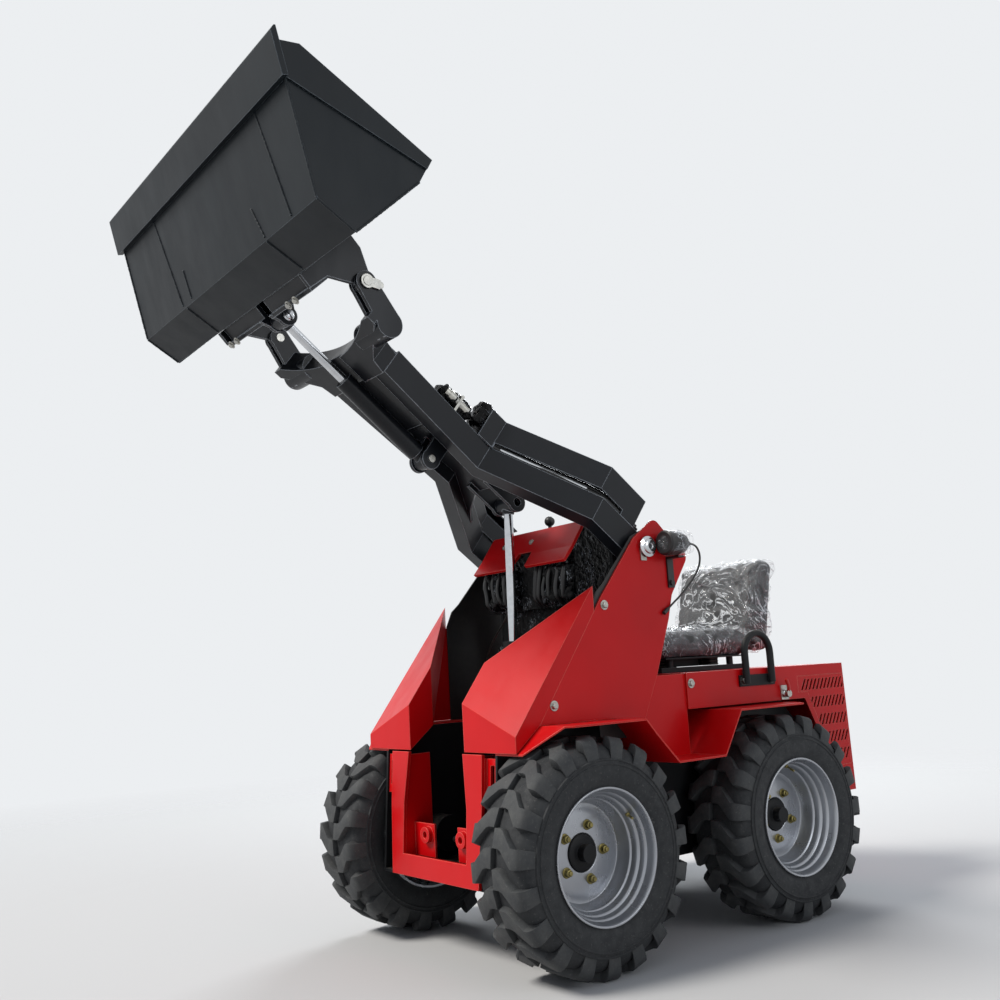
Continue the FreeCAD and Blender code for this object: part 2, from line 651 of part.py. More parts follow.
# Console behind the visor, on a pedestal in front of the foot well.
add_sizes({
    "console_half": 215,  # half the console's width
    "visor_half": 222,  # half the visor's width
    "visor_top_x": -240,  # upper edge of the visor
    "visor_top_z": 1185,  # its height
    "visor_low_x": -150,  # lower edge of the visor
    "visor_low_z": 1068,  # its height
    "visor_bend_x": -184,  # crease of the visor
    "visor_bend_z": 1108,  # its height
    "visor_back_x": 8,  # back of the visor's sheet behind its front
    "visor_back_z": 6,  # back of the visor's sheet below its front
    "console_front_x": -200,  # front of the console
    "notch_half": 42,  # half the notch in the visor's lower edge
    "notch_high": 46,  # height of the notch
    "console_low_z": 940,  # underside of the console
    "console_rear_x": -420,  # rear of the console
    "pedestal_front_x": -235,  # front of the pedestal
    "pedestal_half": 150,  # half the pedestal's width
})
under_visor = ("visor_bend_z - visor_back_z - seam + (visor_bend_x - visor_back_x - seam - console_front_x)"
               " * (visor_top_z - visor_bend_z) / (visor_bend_x - visor_top_x)")
console = new_body("console_body")
pad(console, "console_pad", "XZ", [
    ("console_front_x", "console_low_z"), ("console_front_x", under_visor),
    ("visor_top_x - visor_back_x - seam", "visor_top_z - visor_back_z - 2 * seam"),
    ("console_rear_x + 90", "visor_top_z - 30"),
    ("console_rear_x", "visor_top_z - 110"), ("console_rear_x + 50", "console_low_z"),
], "-console_half", "console_half")
finish("console", console)
pedestal = new_body("pedestal_body")
pad(pedestal, "pedestal_pad", "XZ", [
    ("inner_plate_front_x + 2", "step_z + fender_sheet / 2 + seam"),
    ("pedestal_front_x + 40", "step_z + fender_sheet / 2 + seam"),
    ("pedestal_front_x", "console_low_z"), ("console_rear_x + 60", "console_low_z"),
    ("inner_plate_front_x - 30", "console_low_z - 100"),
], "-pedestal_half", "pedestal_half")
finish("console_pedestal", pedestal)
visor = new_body("visor_body")
pad(visor, "visor_pad", "XZ", [
    ("visor_low_x", "visor_low_z"), ("visor_low_x - visor_back_x", "visor_low_z - visor_back_z"),
    ("visor_bend_x - visor_back_x", "visor_bend_z - visor_back_z"),
    ("visor_top_x - visor_back_x", "visor_top_z - visor_back_z"), ("visor_top_x", "visor_top_z"),
    ("visor_bend_x", "visor_bend_z"),
], "-visor_half", "visor_half")
pocket(visor, "visor_notch", "YZ", [
    ("-notch_half", "visor_low_z - 20"), ("notch_half", "visor_low_z - 20"),
    ("notch_half - 10", "visor_low_z + notch_high"), ("-notch_half + 10", "visor_low_z + notch_high"),
], "visor_top_x - 20", "visor_low_x + 20")
finish("console_visor", visor)

# Control levers: two sticks with balls on the console.
add_sizes({
    "lever_y": 90,  # levers from the middle
    "lever_x": -372,  # levers behind the front axle
    "lever_radius": 6,  # radius of a lever
    "lever_long": 110,  # length of a lever
    "knob_radius": 17,  # radius of a lever's knob
})
stick = rod("lever_stick", "Z", ("lever_x", "lever_y", "visor_top_z - 62"), "lever_long", "lever_radius")
knob = document.addObject("Part::Sphere", "lever_knob")
tie(knob, "Radius", "knob_radius")
tie(knob, "Placement.Base", "vector(lever_x; lever_y; visor_top_z - 62 + lever_long)")
finish("control_levers", both_sides("levers", joined("lever", [stick, knob])))

# Work lamp on a bracket behind the left tower plate, with its cable.
add_sizes({
    "lamp_x": -425,  # middle of the lamp
    "lamp_y": 402,  # its middle from the machine's middle
    "lamp_z": 1098,  # its height
    "lamp_radius": 36,  # radius of the lamp's housing
    "lamp_front": 46,  # lens ahead of the lamp's middle
    "lamp_back": 48,  # back of the housing behind its middle
    "lamp_stub": 9,  # radius of the cable stub at the lamp's back
    "lamp_arm_x": -436,  # middle of the lamp's arm
    "lamp_arm_half": 12,  # half the arm's width
    "lamp_arm_low_z": 972,  # foot of the arm
    "lamp_arm_wall": 6,  # thickness of the arm
    "cable_radius": 3,  # radius of the lamp's cable
    "gland_radius": 6,  # radius of the gland on the tower plate
    "gland_long": 22,  # length of the gland
})
lamp = new_body("lamp_housing")
lamp_section = new_sketch(lamp, "lamp_section", "XY", "0")
draw(lamp_section, [
    ("lamp_front", "0"), ("lamp_front", "lamp_radius - 5"), ("lamp_front - 4", "lamp_radius"),
    ("-lamp_back + 44", "lamp_radius"), ("-lamp_back + 18", "lamp_radius - 8"),
    ("-lamp_back + 4", "lamp_stub + 8"), ("-lamp_back", "lamp_stub"),
    ("-lamp_back - 12", "lamp_stub - 2"), ("-lamp_back - 12", "0"),
])
lamp_turned = lamp.newObject("PartDesign::Revolution", "lamp_turned")
lamp_turned.Profile = lamp_section
lamp_turned.ReferenceAxis = (lamp_section, ["H_Axis"])
lamp_turned.Angle = 360
tie(lamp, "Placement", "placement(vector(lamp_x; lamp_y; lamp_z); rotation(vector(0; 0; 1); 0))")
under_lamp = "lamp_z - lamp_radius - seam"
arm_near, arm_far = "lamp_arm_x - lamp_arm_half", "lamp_arm_x + lamp_arm_half"
lamp_arm = joined("lamp_arm", [
    block("lamp_arm_bar", (arm_near, "body_y", "lamp_arm_low_z"), (arm_far, "body_y + lamp_arm_wall", under_lamp)),
    block("lamp_arm_shelf", (arm_near, "body_y", under_lamp + " - lamp_arm_wall"),
          (arm_far, "lamp_y + lamp_arm_half", under_lamp)),
    rod("lamp_arm_bolt", "Y", ("lamp_arm_x", "body_y", "lamp_arm_low_z + 14"), "lamp_arm_wall + 6", "8"),
])

# The cable's route from the lamp's back down to the gland, as (forward, left, up) points.
cable_route = [
    Vector(-485, 402, 1098), Vector(-510, 402, 1098), Vector(-531, 400, 1074), Vector(-533, 396, 1042),
    Vector(-520, 388, 1010), Vector(-496, 379, 979), Vector(-467, 372.5, 951), Vector(-436, 368.4, 928),
    Vector(-410, 368.4, 910),
]


def cord_along(name, route, radius):
    """A round cord: straight runs joined by arcs as large as the two runs at each point allow."""
    edges, bends = [], []
    here = route[0]
    for before, corner, after in zip(route, route[1:], route[2:]):
        back, ahead = (before - corner), (after - corner)
        reach = 0.45 * min(back.Length, ahead.Length)
        turn = math.pi - back.getAngle(ahead)
        start = corner + back.normalize() * reach
        end = corner + ahead.normalize() * reach
        bends.append(reach / math.tan(turn / 2))
        middle = (start + end) / 2
        sag = bends[-1] / math.cos(turn / 2) - bends[-1]
        top = corner + (middle - corner).normalize() * sag
        edges += [Part.LineSegment(here, start).toShape(), Part.Arc(start, top, end).toShape()]
        here = end
    edges.append(Part.LineSegment(here, route[-1]).toShape())
    path = Part.Wire(edges)
    ring = Part.Wire([Part.makeCircle(radius, route[0], route[1] - route[0])])
    thing = document.addObject("Part::Feature", name)
    thing.Shape = path.makePipeShell([ring], True, False)
    print(name, "is", round(path.Length), "long; radii", [round(bend) for bend in bends],
          "; volume", round(thing.Shape.Volume), "of", round(math.pi * radius ** 2 * path.Length))
    return thing


finish("lamp_cable", cord_along("cable", cable_route, size("cable_radius")))
gland_end = cable_route[-1]
gland_run = (gland_end - cable_route[-2]).normalize()
gland = document.addObject("Part::Feature", "cable_gland")
gland.Shape = Part.makeCylinder(size("gland_radius"), size("gland_long"), gland_end, gland_run)
finish("work_lamp", collected("lamp", [lamp, lamp_arm, gland]))

# Engine: one plain block under the hood.
add_sizes({
    "engine_front_x": -640,  # front of the engine
    "engine_rear_x": -1110,  # rear of the engine
    "engine_half": 190,  # half its width
    "engine_top_z": 680,  # its top
})
engine = block("engine_form", ("engine_rear_x", "-engine_half", "belly_z + frame_wall"),
               ("engine_front_x", "engine_half", "engine_top_z"))
finish("engine_block", engine)

# Rear bumper and the hood's hinge on it.
add_sizes({
    "rear_face_x": -1233,  # rearmost face of the machine
    "rear_low_z": 232,  # underside at the rear
    "bumper_top_z": 276,  # top of the rear bumper
    "hinge_x": -1221,  # hood hinge
    "hinge_z": 296,  # its height
    "hinge_pin": 5,  # radius of the hinge pin
    "hinge_knuckle": 9,  # radius of the hinge knuckles
    "hinge_y": 200,  # middle of a hinge from the machine's middle
    "hinge_half": 28,  # half the hood's knuckle
    "hinge_lug": 8,  # thickness of a hinge lug
})
bumper = new_body("bumper_body")
pad(bumper, "bumper_pad", "XZ", [
    ("rear_face_x", "rear_low_z"), ("rear_face_x", "bumper_top_z"), ("frame_rear_x - seam", "bumper_top_z"),
    ("frame_rear_x - seam", "bumper_top_z - 8"), ("rear_face_x + 8", "bumper_top_z - 8"),
    ("rear_face_x + 8", "rear_low_z + 8"), ("frame_rear_x - seam", "rear_low_z + 8"), ("frame_rear_x - seam", "rear_low_z"),
], "-body_y", "body_y")
pieces = [bumper]
for side in ("", "-"):
    pin = rod("hinge_pin", "Y", ("hinge_x", side + "hinge_y - hinge_half - hinge_lug - 2", "hinge_z"),
              "2 * (hinge_half + hinge_lug + 2)", "hinge_pin")
    pieces.append(pin)
    for low in ("hinge_y - hinge_half - hinge_lug - 2", "hinge_y + hinge_half + 2"):
        start = low if not side else "-(" + low + ") - hinge_lug"
        pieces.append(rod("hinge_lug", "Y", ("hinge_x", start, "hinge_z"), "hinge_lug", "hinge_knuckle"))
        pieces.append(block("hinge_post", ("hinge_x - hinge_knuckle", start, "bumper_top_z - 2"),
                            ("hinge_x + hinge_knuckle", start + " + hinge_lug", "hinge_z")))
finish("rear_bumper", joined("bumper", pieces))

# Hood: a folded cover over the engine that carries the seat and tilts back on the hinge.
add_sizes({
    "hood_front_x": -470,  # front wall of the hood
    "hood_top_z": 724,  # top of the hood
    "hood_sheet": 4,  # thickness of the hood
    "hood_rear_top_x": -1222,  # rear wall at the top
    "hood_rear_x": -1228,  # rear wall at its foot
    "hood_low_z": 314,  # foot of the rear wall
    "arch_top": 238,  # top of the rear wheel arch behind the rear axle
    "arch_bend": 300,  # bend of the arch behind the rear axle
    "arch_bend_z": 208,  # bend of the arch above the rear axle
    "arch_heel": 352,  # heel of the arch behind the rear axle
    "arch_heel_z": 96,  # heel of the arch above the rear axle
    "arch_foot": 364,  # foot of the arch behind the rear axle
    "hood_gap": 6,  # hood above the fender
})
side_low = "fender_top + fender_sheet / 2 + hood_gap"
hood = new_body("hood_body")
pad(hood, "hood_outside", "XZ", [
    ("hood_front_x", "hood_top_z"), ("hood_front_x", side_low), ("-wheelbase - arch_top", side_low),
    ("-wheelbase - arch_bend", "tyre_radius + arch_bend_z"), ("-wheelbase - arch_heel", "tyre_radius + arch_heel_z"),
    ("-wheelbase - arch_foot", "hood_low_z"), ("hood_rear_x", "hood_low_z"), ("hood_rear_top_x", "hood_top_z"),
], "-body_y", "body_y")
pocket(hood, "hood_inside", "XZ", [
    ("hood_front_x - hood_sheet", "hood_top_z - hood_sheet"), ("hood_front_x - hood_sheet", "hood_low_z - 40"),
    ("hood_rear_x + hood_sheet", "hood_low_z - 40"), ("hood_rear_top_x + hood_sheet", "hood_top_z - hood_sheet"),
], "-body_y + hood_sheet", "body_y - hood_sheet")
add_sizes({
    "grille_front_x": -980,  # front edge of a grille panel
    "grille_rear_x": -1217,  # rear edge of a grille panel
    "grille_top_z": 690,  # top edge of a grille panel
    "grille_bend_z": 640,  # foot of the panel's front edge, above the wheel arch
    "grille_step_x": -1026,  # where the panel starts down along the wheel arch
    "grille_heel_x": -1138,  # rear end of that slope
    "grille_low_z": 398,  # foot of a grille panel
    "slot_wide": 9,  # width of a grille slot
    "slot_tall": 34,  # height of a grille slot
    "slot_lean": 20,  # a slot's top behind its foot
    "slot_pitch": 19,  # slot to slot in a row
    "slot_row_pitch": 57,  # row to row
    "slot_top_z": 679,  # top of the first row
})
panel_outline = [
    ("grille_front_x", "grille_top_z"), ("grille_front_x", "grille_bend_z"), ("grille_step_x", "grille_bend_z"),
    ("grille_heel_x", "grille_low_z"), ("grille_rear_x", "grille_low_z"), ("grille_rear_x", "grille_top_z"),
]


def grown(points, signs):
    """The same outline, each point moved by the seam towards its side: (forward, up) signs."""
    return [(across + " + seam * %s" % ahead, up + " + seam * %s" % above)
            for (across, up), (ahead, above) in zip(points, signs)]


pocket(hood, "grille_window", "XZ", grown(panel_outline, [
    (1, 1), (1, -1), (0.2, -1), (0.8, -1), (-1, -1), (-1, 1)]), "-body_y - 1", "body_y + 1")
panel = new_body("grille_panel")
pad(panel, "grille_sheet", "XZ", panel_outline, "body_y - hood_sheet", "body_y")
for row, front, count in ((0, -994, 12), (1, -1008, 11), (2, -1062, 8), (3, -1098, 6), (4, -1132, 4)):
    top = "slot_top_z - %d * slot_row_pitch" % row
    foot = top + " - slot_tall"
    slot = pocket(panel, "slot_%d" % row, "XZ", [
        ("%d" % front, foot), ("%d - slot_lean" % front, top), ("%d - slot_lean - slot_wide" % front, top),
        ("%d - slot_wide" % front, foot),
    ], "body_y - hood_sheet - 1", "body_y + 1")
    row_of(panel, slot, slot.Profile[0], "slot_pitch", count)
finish("hood_grilles", both_sides("grilles", panel))

knuckles = []
for side in ("", "-"):
    start = side + "hinge_y - hinge_half"
    sleeve = rod("knuckle", "Y", ("hinge_x", start, "hinge_z"), "2 * hinge_half", "hinge_knuckle")
    tab = block("knuckle_tab", ("hood_rear_x", start, "hinge_z"), ("hood_rear_x + hood_sheet", start + " + 2 * hinge_half", "hood_low_z + 4"))
    knuckles += [sleeve, tab]
hinge_bore = rod("hinge_bore", "Y", ("hinge_x", "-body_y", "hinge_z"), "2 * body_y", "hinge_pin + running_gap")
finish("hood", cut("hood_hinged", joined("hood_form", [hood] + knuckles), [hinge_bore]))

# Seat: low frame, cushion and back on the hood.
add_sizes({
    "seat_front_x": -536,  # front of the cushion
    "seat_rear_x": -1000,  # rear of the cushion
    "seat_half": 205,  # half the cushion's width
    "cushion_low_z": 770,  # underside of the cushion
    "cushion_top_z": 862,  # top of the cushion
    "back_top_z": 1100,  # top of the back
    "back_thick": 95,  # thickness of the back
    "back_lean": 75,  # how far the back leans rearwards
})
add_sizes({
    "rail_y": 150,  # middle of a seat rail from the machine's middle
    "rail_half": 12,  # half the width of a seat rail
    "rail_tall": 16,  # height of a seat rail
    "pan_wall": 5,  # thickness of the seat's pan
    "post_radius": 11,  # radius of a seat post
    "post_in": 90,  # posts from the ends of the cushion
})
pan_low = "cushion_low_z - seam - pan_wall"
frame_pieces = [block("seat_pan", ("seat_rear_x + 50", "-rail_y - 25", pan_low),
                      ("seat_front_x - 50", "rail_y + 25", "cushion_low_z - seam"))]
for side in ("", "-"):
    frame_pieces.append(block("seat_rail", ("seat_rear_x + 40", side + "rail_y - rail_half", "hood_top_z"),
                              ("seat_front_x - 40", side + "rail_y + rail_half", "hood_top_z + rail_tall")))
    for along in ("seat_front_x - post_in", "seat_rear_x + post_in"):
        frame_pieces.append(rod("seat_post", "Z", (along, side + "rail_y", "hood_top_z + rail_tall - 2"),
                                pan_low + " + 2 - (hood_top_z + rail_tall - 2)", "post_radius"))
finish("seat_frame", joined("seat_frame_form", frame_pieces))
cushion = new_body("cushion_body")
pad(cushion, "cushion_pad", "XZ", [
    ("seat_front_x", "cushion_low_z + 25"), ("seat_front_x - 20", "cushion_low_z"),
    ("seat_rear_x", "cushion_low_z"), ("seat_rear_x", "cushion_top_z - 20"),
    ("seat_front_x - 60", "cushion_top_z"), ("seat_front_x - 8", "cushion_top_z - 22"),
], "-seat_half", "seat_half")
finish("seat_cushion", cushion)
seat_back = new_body("back_body")
pad(seat_back, "back_pad", "XZ", [
    ("seat_rear_x - seam", "cushion_low_z"), ("seat_rear_x - seam - back_thick * 0.7", "cushion_low_z"),
    ("seat_rear_x - back_thick - back_lean", "back_top_z - 15"), ("seat_rear_x - back_thick / 2 - back_lean", "back_top_z"),
    ("seat_rear_x - back_lean", "back_top_z - 25"),
], "-seat_half", "seat_half")
finish("seat_back", seat_back)

# Grab handles: a bent tube each side on two foot plates.
add_sizes({
    "handle_front_x": -719,  # front leg of a grab handle
    "handle_rear_x": -838,  # rear leg of a grab handle
    "handle_top_z": 842,  # top of a grab handle
    "handle_radius": 11,  # radius of its tube
    "handle_foot_z": 672,  # foot of its plate
    "handle_plate": 6,  # thickness of its plate
})
bend = "(handle_front_x - handle_rear_x) / 2"
handle_y = "body_y + handle_plate / 2 + handle_radius"
legs = [rod("handle_leg", "Z", (along, handle_y, "handle_foot_z + 8"), "handle_top_z - handle_radius - %s - handle_foot_z - 8" % bend,
            "handle_radius") for along in ("handle_front_x", "handle_rear_x")]
arch = document.addObject("Part::Torus", "handle_arch")
tie(arch, "Radius1", bend)
tie(arch, "Radius2", "handle_radius")
arch.Angle3 = 180
tie(arch, "Placement", "placement(vector(handle_rear_x + %s; %s; handle_top_z - handle_radius - %s); rotation(vector(1; 0; 0); 90))" % (bend, handle_y, bend))
foot = block("handle_plate", ("handle_rear_x - 22", "body_y", "handle_foot_z"), ("handle_front_x + 22", "body_y + handle_plate", "handle_foot_z + 34"))
finish("grab_handles", both_sides("handles", joined("handle", legs + [arch, foot])))

# Latch that holds the hood shut.
latch = joined("latch_form", [
    block("latch_plate", ("-925", "body_y", "622"), ("-889", "body_y + 4", "666")),
    rod("latch_turn", "Y", ("-907", "body_y", "640"), "22", "11"),
])
finish("hood_latch", latch)

# Boom, in its own frame: along the arms, across, and square to them, from the pivot.
add_sizes({
    "arm_low": -45,  # underside of the arms from the pivot's line
    "arm_high": 37,  # top of the arms from the pivot's line
    "arm_wide": 50,  # width of an arm
    "arm_rear_y": 334,  # outer face of the arms at the pivot
    "arm_heel": -42,  # rear end of the arms behind the pivot
    "waist_start": 185,  # where the arms start to close in
    "waist_end": 473,  # where the arms run forwards again
    "waist_y": 111,  # outer face of the arms at the waist
    "arm_tip": 870,  # front end of the arms
    "arm_tip_y": 136,  # outer face of the arms at the tip
})
boom_place = "placement(vector(frame_shift + pivot_x; 0; pivot_z); rotation(vector(0; 1; 0); -boom_angle))"
arm = new_body("arm_body")
pad(arm, "arm_pad", "XY", [
    ("arm_heel", "arm_rear_y"), ("waist_start", "arm_rear_y"), ("waist_end", "waist_y"), ("arm_tip", "arm_tip_y"),
    ("arm_tip", "arm_tip_y - arm_wide"), ("waist_end - 20", "waist_y - arm_wide"),
    ("waist_start - 26", "arm_rear_y - arm_wide"), ("arm_heel", "arm_rear_y - arm_wide"),
], "arm_low", "arm_high")
round_edges(arm, "heel_rounding", [("arm_heel", "arm_low"), ("arm_heel", "arm_high")], "arm_high - 3")
arm_bore = rod("arm_bore", "Y", ("0", "0", "0"), "arm_rear_y + 20", "pivot_radius + running_gap")
left = finish("boom_arm_left", cut("arm_bored", arm, [arm_bore]), boom_place)
finish_mirror("boom_arm_right", left)

# Waist: the web between the arms, with the lugs of both cylinders.
add_sizes({
    "web_low": -4,  # underside of the web
    "web_high": 12,  # top of the web
    "web_rear": 362,  # rear edge of the web in the middle
    "web_front": 653,  # front edge of the web
    "lift_eye_along": 274,  # lift cylinder's eye along the boom
    "lift_eye_up": 7,  # lift cylinder's eye above the pivot's line
    "lift_pin": 12.5,  # radius of the lift cylinder's pins
    "tilt_foot_along": 579,  # tilt cylinder's foot along the boom
    "tilt_foot_up": -84,  # tilt cylinder's foot below the pivot's line
    "tilt_pin": 11,  # radius of the tilt cylinder's pins
    "lift_gap": 36,  # half the gap between the lift cylinder's lugs
    "tilt_gap": 24,  # half the gap between the tilt cylinder's lugs
    "lug_wall": 12,  # thickness of a cylinder's lugs
    "lug_round": 30,  # radius of the lugs round their pin
})
web = new_body("web_body")
closing = "(arm_rear_y - waist_y) / (waist_end + 6 - waist_start)"
web_root = "arm_rear_y - arm_wide - (waist_start + 60 - waist_start + 26) * " + closing
web_front_y = "waist_y - arm_wide + (arm_tip_y - waist_y) * (web_front - waist_end + 20) / (arm_tip - waist_end + 20)"
pad(web, "web_pad", "XY", [
    ("waist_start + 60", web_root), ("waist_start + 110", "arm_rear_y - arm_wide - 118"),
    ("web_rear", "lift_gap + lug_wall + 10"), ("web_rear", "-lift_gap - lug_wall - 10"),
    ("waist_start + 110", "-arm_rear_y + arm_wide + 118"), ("waist_start + 60", "-(" + web_root + ")"),
    ("waist_end - 20", "-waist_y + arm_wide"), ("web_front", "-(" + web_front_y + ")"),
    ("web_front", web_front_y), ("waist_end - 20", "waist_y - arm_wide"),
], "web_low", "web_high")


def lug_pair(name, gap, along, up, stem):
    """Two lugs with a round end about their pin's place; stem gives the foot of the lug as four formulas."""
    pieces = []
    for start in (gap, "-%s - lug_wall" % gap):
        eye = rod(name + "_eye", "Y", (along, start, up), "lug_wall", "lug_round")
        arm_block = block(name + "_stem", (stem[0], start, stem[1]), (stem[2], start + " + lug_wall", stem[3]))
        pieces += [eye, arm_block]
    return pieces


lift_lugs = lug_pair("lift_lug", "lift_gap", "lift_eye_along", "lift_eye_up",
                     ("lift_eye_along", "lift_eye_up - 26", "web_rear + 40", "lift_eye_up + 26"))
tilt_lugs = lug_pair("tilt_lug", "tilt_gap", "tilt_foot_along", "tilt_foot_up",
                     ("tilt_foot_along - 28", "tilt_foot_up", "tilt_foot_along + 28", "web_high - 2"))
tilt_bore = rod("tilt_foot_bore", "Y", ("tilt_foot_along", "-tilt_gap - lug_wall - 1", "tilt_foot_up"),
                "2 * (tilt_gap + lug_wall + 1)", "tilt_pin + running_gap")
lift_bore = rod("lift_eye_bore", "Y", ("lift_eye_along", "-lift_gap - lug_wall - 1", "lift_eye_up"),
                "2 * (lift_gap + lug_wall + 1)", "lift_pin + running_gap")
finish("boom_web", cut("web_bored", joined("web_form", [web] + lift_lugs + tilt_lugs), [tilt_bore, lift_bore]), boom_place)

# Head: the cross tube, the arms' ends and the ears that hold the bucket's hinge.
add_sizes({
    "head_tube_along": 969,  # cross tube along the boom
    "head_tube_up": -17,  # cross tube below the pivot's line
    "head_tube_radius": 38,  # radius of the cross tube
    "head_half": 275,  # half the width of the head
    "head_inner": 150,  # inner end of a cross tube
    "hinge_along": 1084,  # bucket hinge along the boom
    "hinge_up": 25,  # bucket hinge above the pivot's line
    "bucket_pin": 12.5,  # radius of the bucket's hinge pins
    "ear_wall": 12,  # thickness of an ear
    "ear_round": 30,  # radius of an ear round the hinge
    "ear_gap": 16,  # gap between the two ears of a side
    "head_low": -52,  # underside of the box between the ears
    "head_high": 22,  # top of that box
    "head_neck": 915,  # where the box starts to widen
    "head_flare": 972,  # where its rear edge reaches the ears
    "head_horn": 1027,  # front of the box at the ears
    "head_middle": 968,  # front of the box in the middle
    "crescent_radius": 520,  # radius of the box's concave front edge
    "channel_half": 38,  # half the channel for the tilt cylinder
    "channel_top": -34,  # roof of that channel
})
tube = rod("head_tube", "Y", ("head_tube_along", "head_inner", "head_tube_up"), "head_half - head_inner", "head_tube_radius")
tip = block("arm_end", ("arm_tip", "arm_tip_y - arm_wide", "arm_low"), ("head_tube_along", "arm_tip_y", "arm_high - 10"))


def ear(name, start):
    """One ear plate: round the tube at its root and round the hinge at its tip."""
    body = new_body(name)
    pad(body, name + "_pad", "XZ", [
        ("head_tube_along - 10", "head_tube_up - head_tube_radius"), ("hinge_along + 8", "hinge_up - ear_round + 2"),
        ("hinge_along + 8", "hinge_up + ear_round - 2"), ("hinge_along - 14", "hinge_up + ear_round - 3"),
        ("head_tube_along - 20", "head_tube_up + head_tube_radius - 5"),
    ], start, start + " + ear_wall")
    round_end = rod(name + "_round", "Y", ("hinge_along", start, "hinge_up"), "ear_wall", "ear_round")
    root = rod(name + "_root", "Y", ("head_tube_along", start, "head_tube_up"), "ear_wall", "head_tube_radius")
    return [body, round_end, root]


outer = ear("ear_outer", "head_half - ear_wall")
inner_ear = ear("ear_inner", "head_half - 2 * ear_wall - ear_gap")
side = joined("head_side", [tube, tip] + outer + inner_ear)
bridge = new_body("head_box")
head_outline = [("arm_tip", "arm_tip_y"), ("head_neck", "arm_tip_y + 12"), ("head_flare", "head_half - 50"),
                ("head_flare + 30", "head_half"), ("head_horn", "head_half")]
pad(bridge, "head_box_pad", "XY", head_outline + [(along, "-(" + across + ")") for along, across in head_outline[::-1]],
    "head_low", "head_high")
crescent = rod("head_crescent", "Z", ("head_middle + crescent_radius", "0", "head_low - 5"),
               "head_high - head_low + 10", "crescent_radius")
channel = block("tilt_channel", ("arm_tip - 5", "-channel_half", "head_low - 5"), ("head_horn", "channel_half", "channel_top"))
bridge = cut("head_box_cut", bridge, [crescent, channel])
ear_bore = rod("ear_bore", "Y", ("hinge_along", "-head_half - 5", "hinge_up"), "2 * head_half + 10", "bucket_pin + running_gap")
head_form = joined("head_form", [side, mirror("head_side_far", side), bridge])
finish("boom_head", cut("head_bored", head_form, [ear_bore]), boom_place)

# Hinge pins of the bucket, held in the ears.
add_sizes({
    "keeper_wall": 6,  # thickness of a pin's keeper
    "keeper_round": 19,  # radius of a keeper round its pin
    "keeper_long": 38,  # keeper's bolt from its pin
    "keeper_tail": 10,  # radius of a keeper round its bolt
    "keeper_turn": 150,  # keeper's tail turned from the boom's line
})
pin_start = "head_half - 2 * ear_wall - ear_gap - 3"
pin_pieces = [
    rod("bucket_pin_form", "Y", ("hinge_along", pin_start, "hinge_up"), "2 * ear_wall + ear_gap + 3 + keeper_wall + 2",
        "bucket_pin"),
    rod("keeper_ring", "Y", ("hinge_along", "head_half", "hinge_up"), "keeper_wall", "keeper_round"),
    rod("keeper_end", "Y", ("hinge_along + keeper_long * cos(keeper_turn)", "head_half",
                            "hinge_up + keeper_long * sin(keeper_turn)"), "keeper_wall", "keeper_tail"),
]
keeper_bar = document.addObject("Part::Box", "keeper_bar")
tie(keeper_bar, "Length", "keeper_long")
tie(keeper_bar, "Width", "keeper_wall")
tie(keeper_bar, "Height", "2 * keeper_tail + 6")
tie(keeper_bar, "Placement", "placement(vector(hinge_along + (keeper_tail + 3) * sin(keeper_turn); head_half;"
    " hinge_up - (keeper_tail + 3) * cos(keeper_turn)); rotation(vector(0; 1; 0); -keeper_turn))")
bucket_pin = joined("bucket_pin_kept", pin_pieces + [keeper_bar])
finish("bucket_hinge_pins", both_sides("bucket_pins", bucket_pin), boom_place)

# Hose guards above the arms.
add_sizes({
    "guard_gap": 18,  # guard above the arms
    "guard_tall": 82,  # height of a guard
    "guard_wall": 4,  # thickness of a guard
    "guard_rear": 50,  # rear end of the guards along the boom
    "guard_front": 530,  # front end of the guards along the boom
})
guard = new_body("guard_body")
pad(guard, "guard_pad", "XY", [
    ("guard_rear", "arm_rear_y"), ("waist_start + 22", "arm_rear_y"), ("waist_end", "waist_y + 7"), ("guard_front", "waist_y + 7"),
    ("guard_front", "waist_y + 7 - arm_wide"), ("waist_end - 20", "waist_y + 7 - arm_wide"),
    ("waist_start - 4", "arm_rear_y - arm_wide"), ("guard_rear", "arm_rear_y - arm_wide"),
], "arm_high", "arm_high + guard_gap + guard_tall")
inside = [
    ("guard_rear - 9", "arm_rear_y - guard_wall"), ("waist_start + 20", "arm_rear_y - guard_wall"),
    ("waist_end - 2", "waist_y + 7 - guard_wall"), ("guard_front + 9", "waist_y + 7 - guard_wall"),
    ("guard_front + 9", "waist_y - arm_wide - 5"), ("waist_end - 28", "waist_y - arm_wide - 5"),
    ("waist_start - 12", "arm_rear_y - arm_wide - 9"), ("guard_rear - 9", "arm_rear_y - arm_wide - 9"),
]
pocket(guard, "guard_inside", "XY", inside, "arm_high - 2", "arm_high + guard_gap + guard_tall - guard_wall")
pocket(guard, "guard_gap_cut", "XZ", [
    ("guard_rear + 60", "arm_high - 2"), ("guard_front - 60", "arm_high - 2"),
    ("guard_front - 60", "arm_high + guard_gap"), ("guard_rear + 60", "arm_high + guard_gap"),
], "0", "arm_rear_y + 5")
finish("hose_guards", both_sides("guards", guard), boom_place)

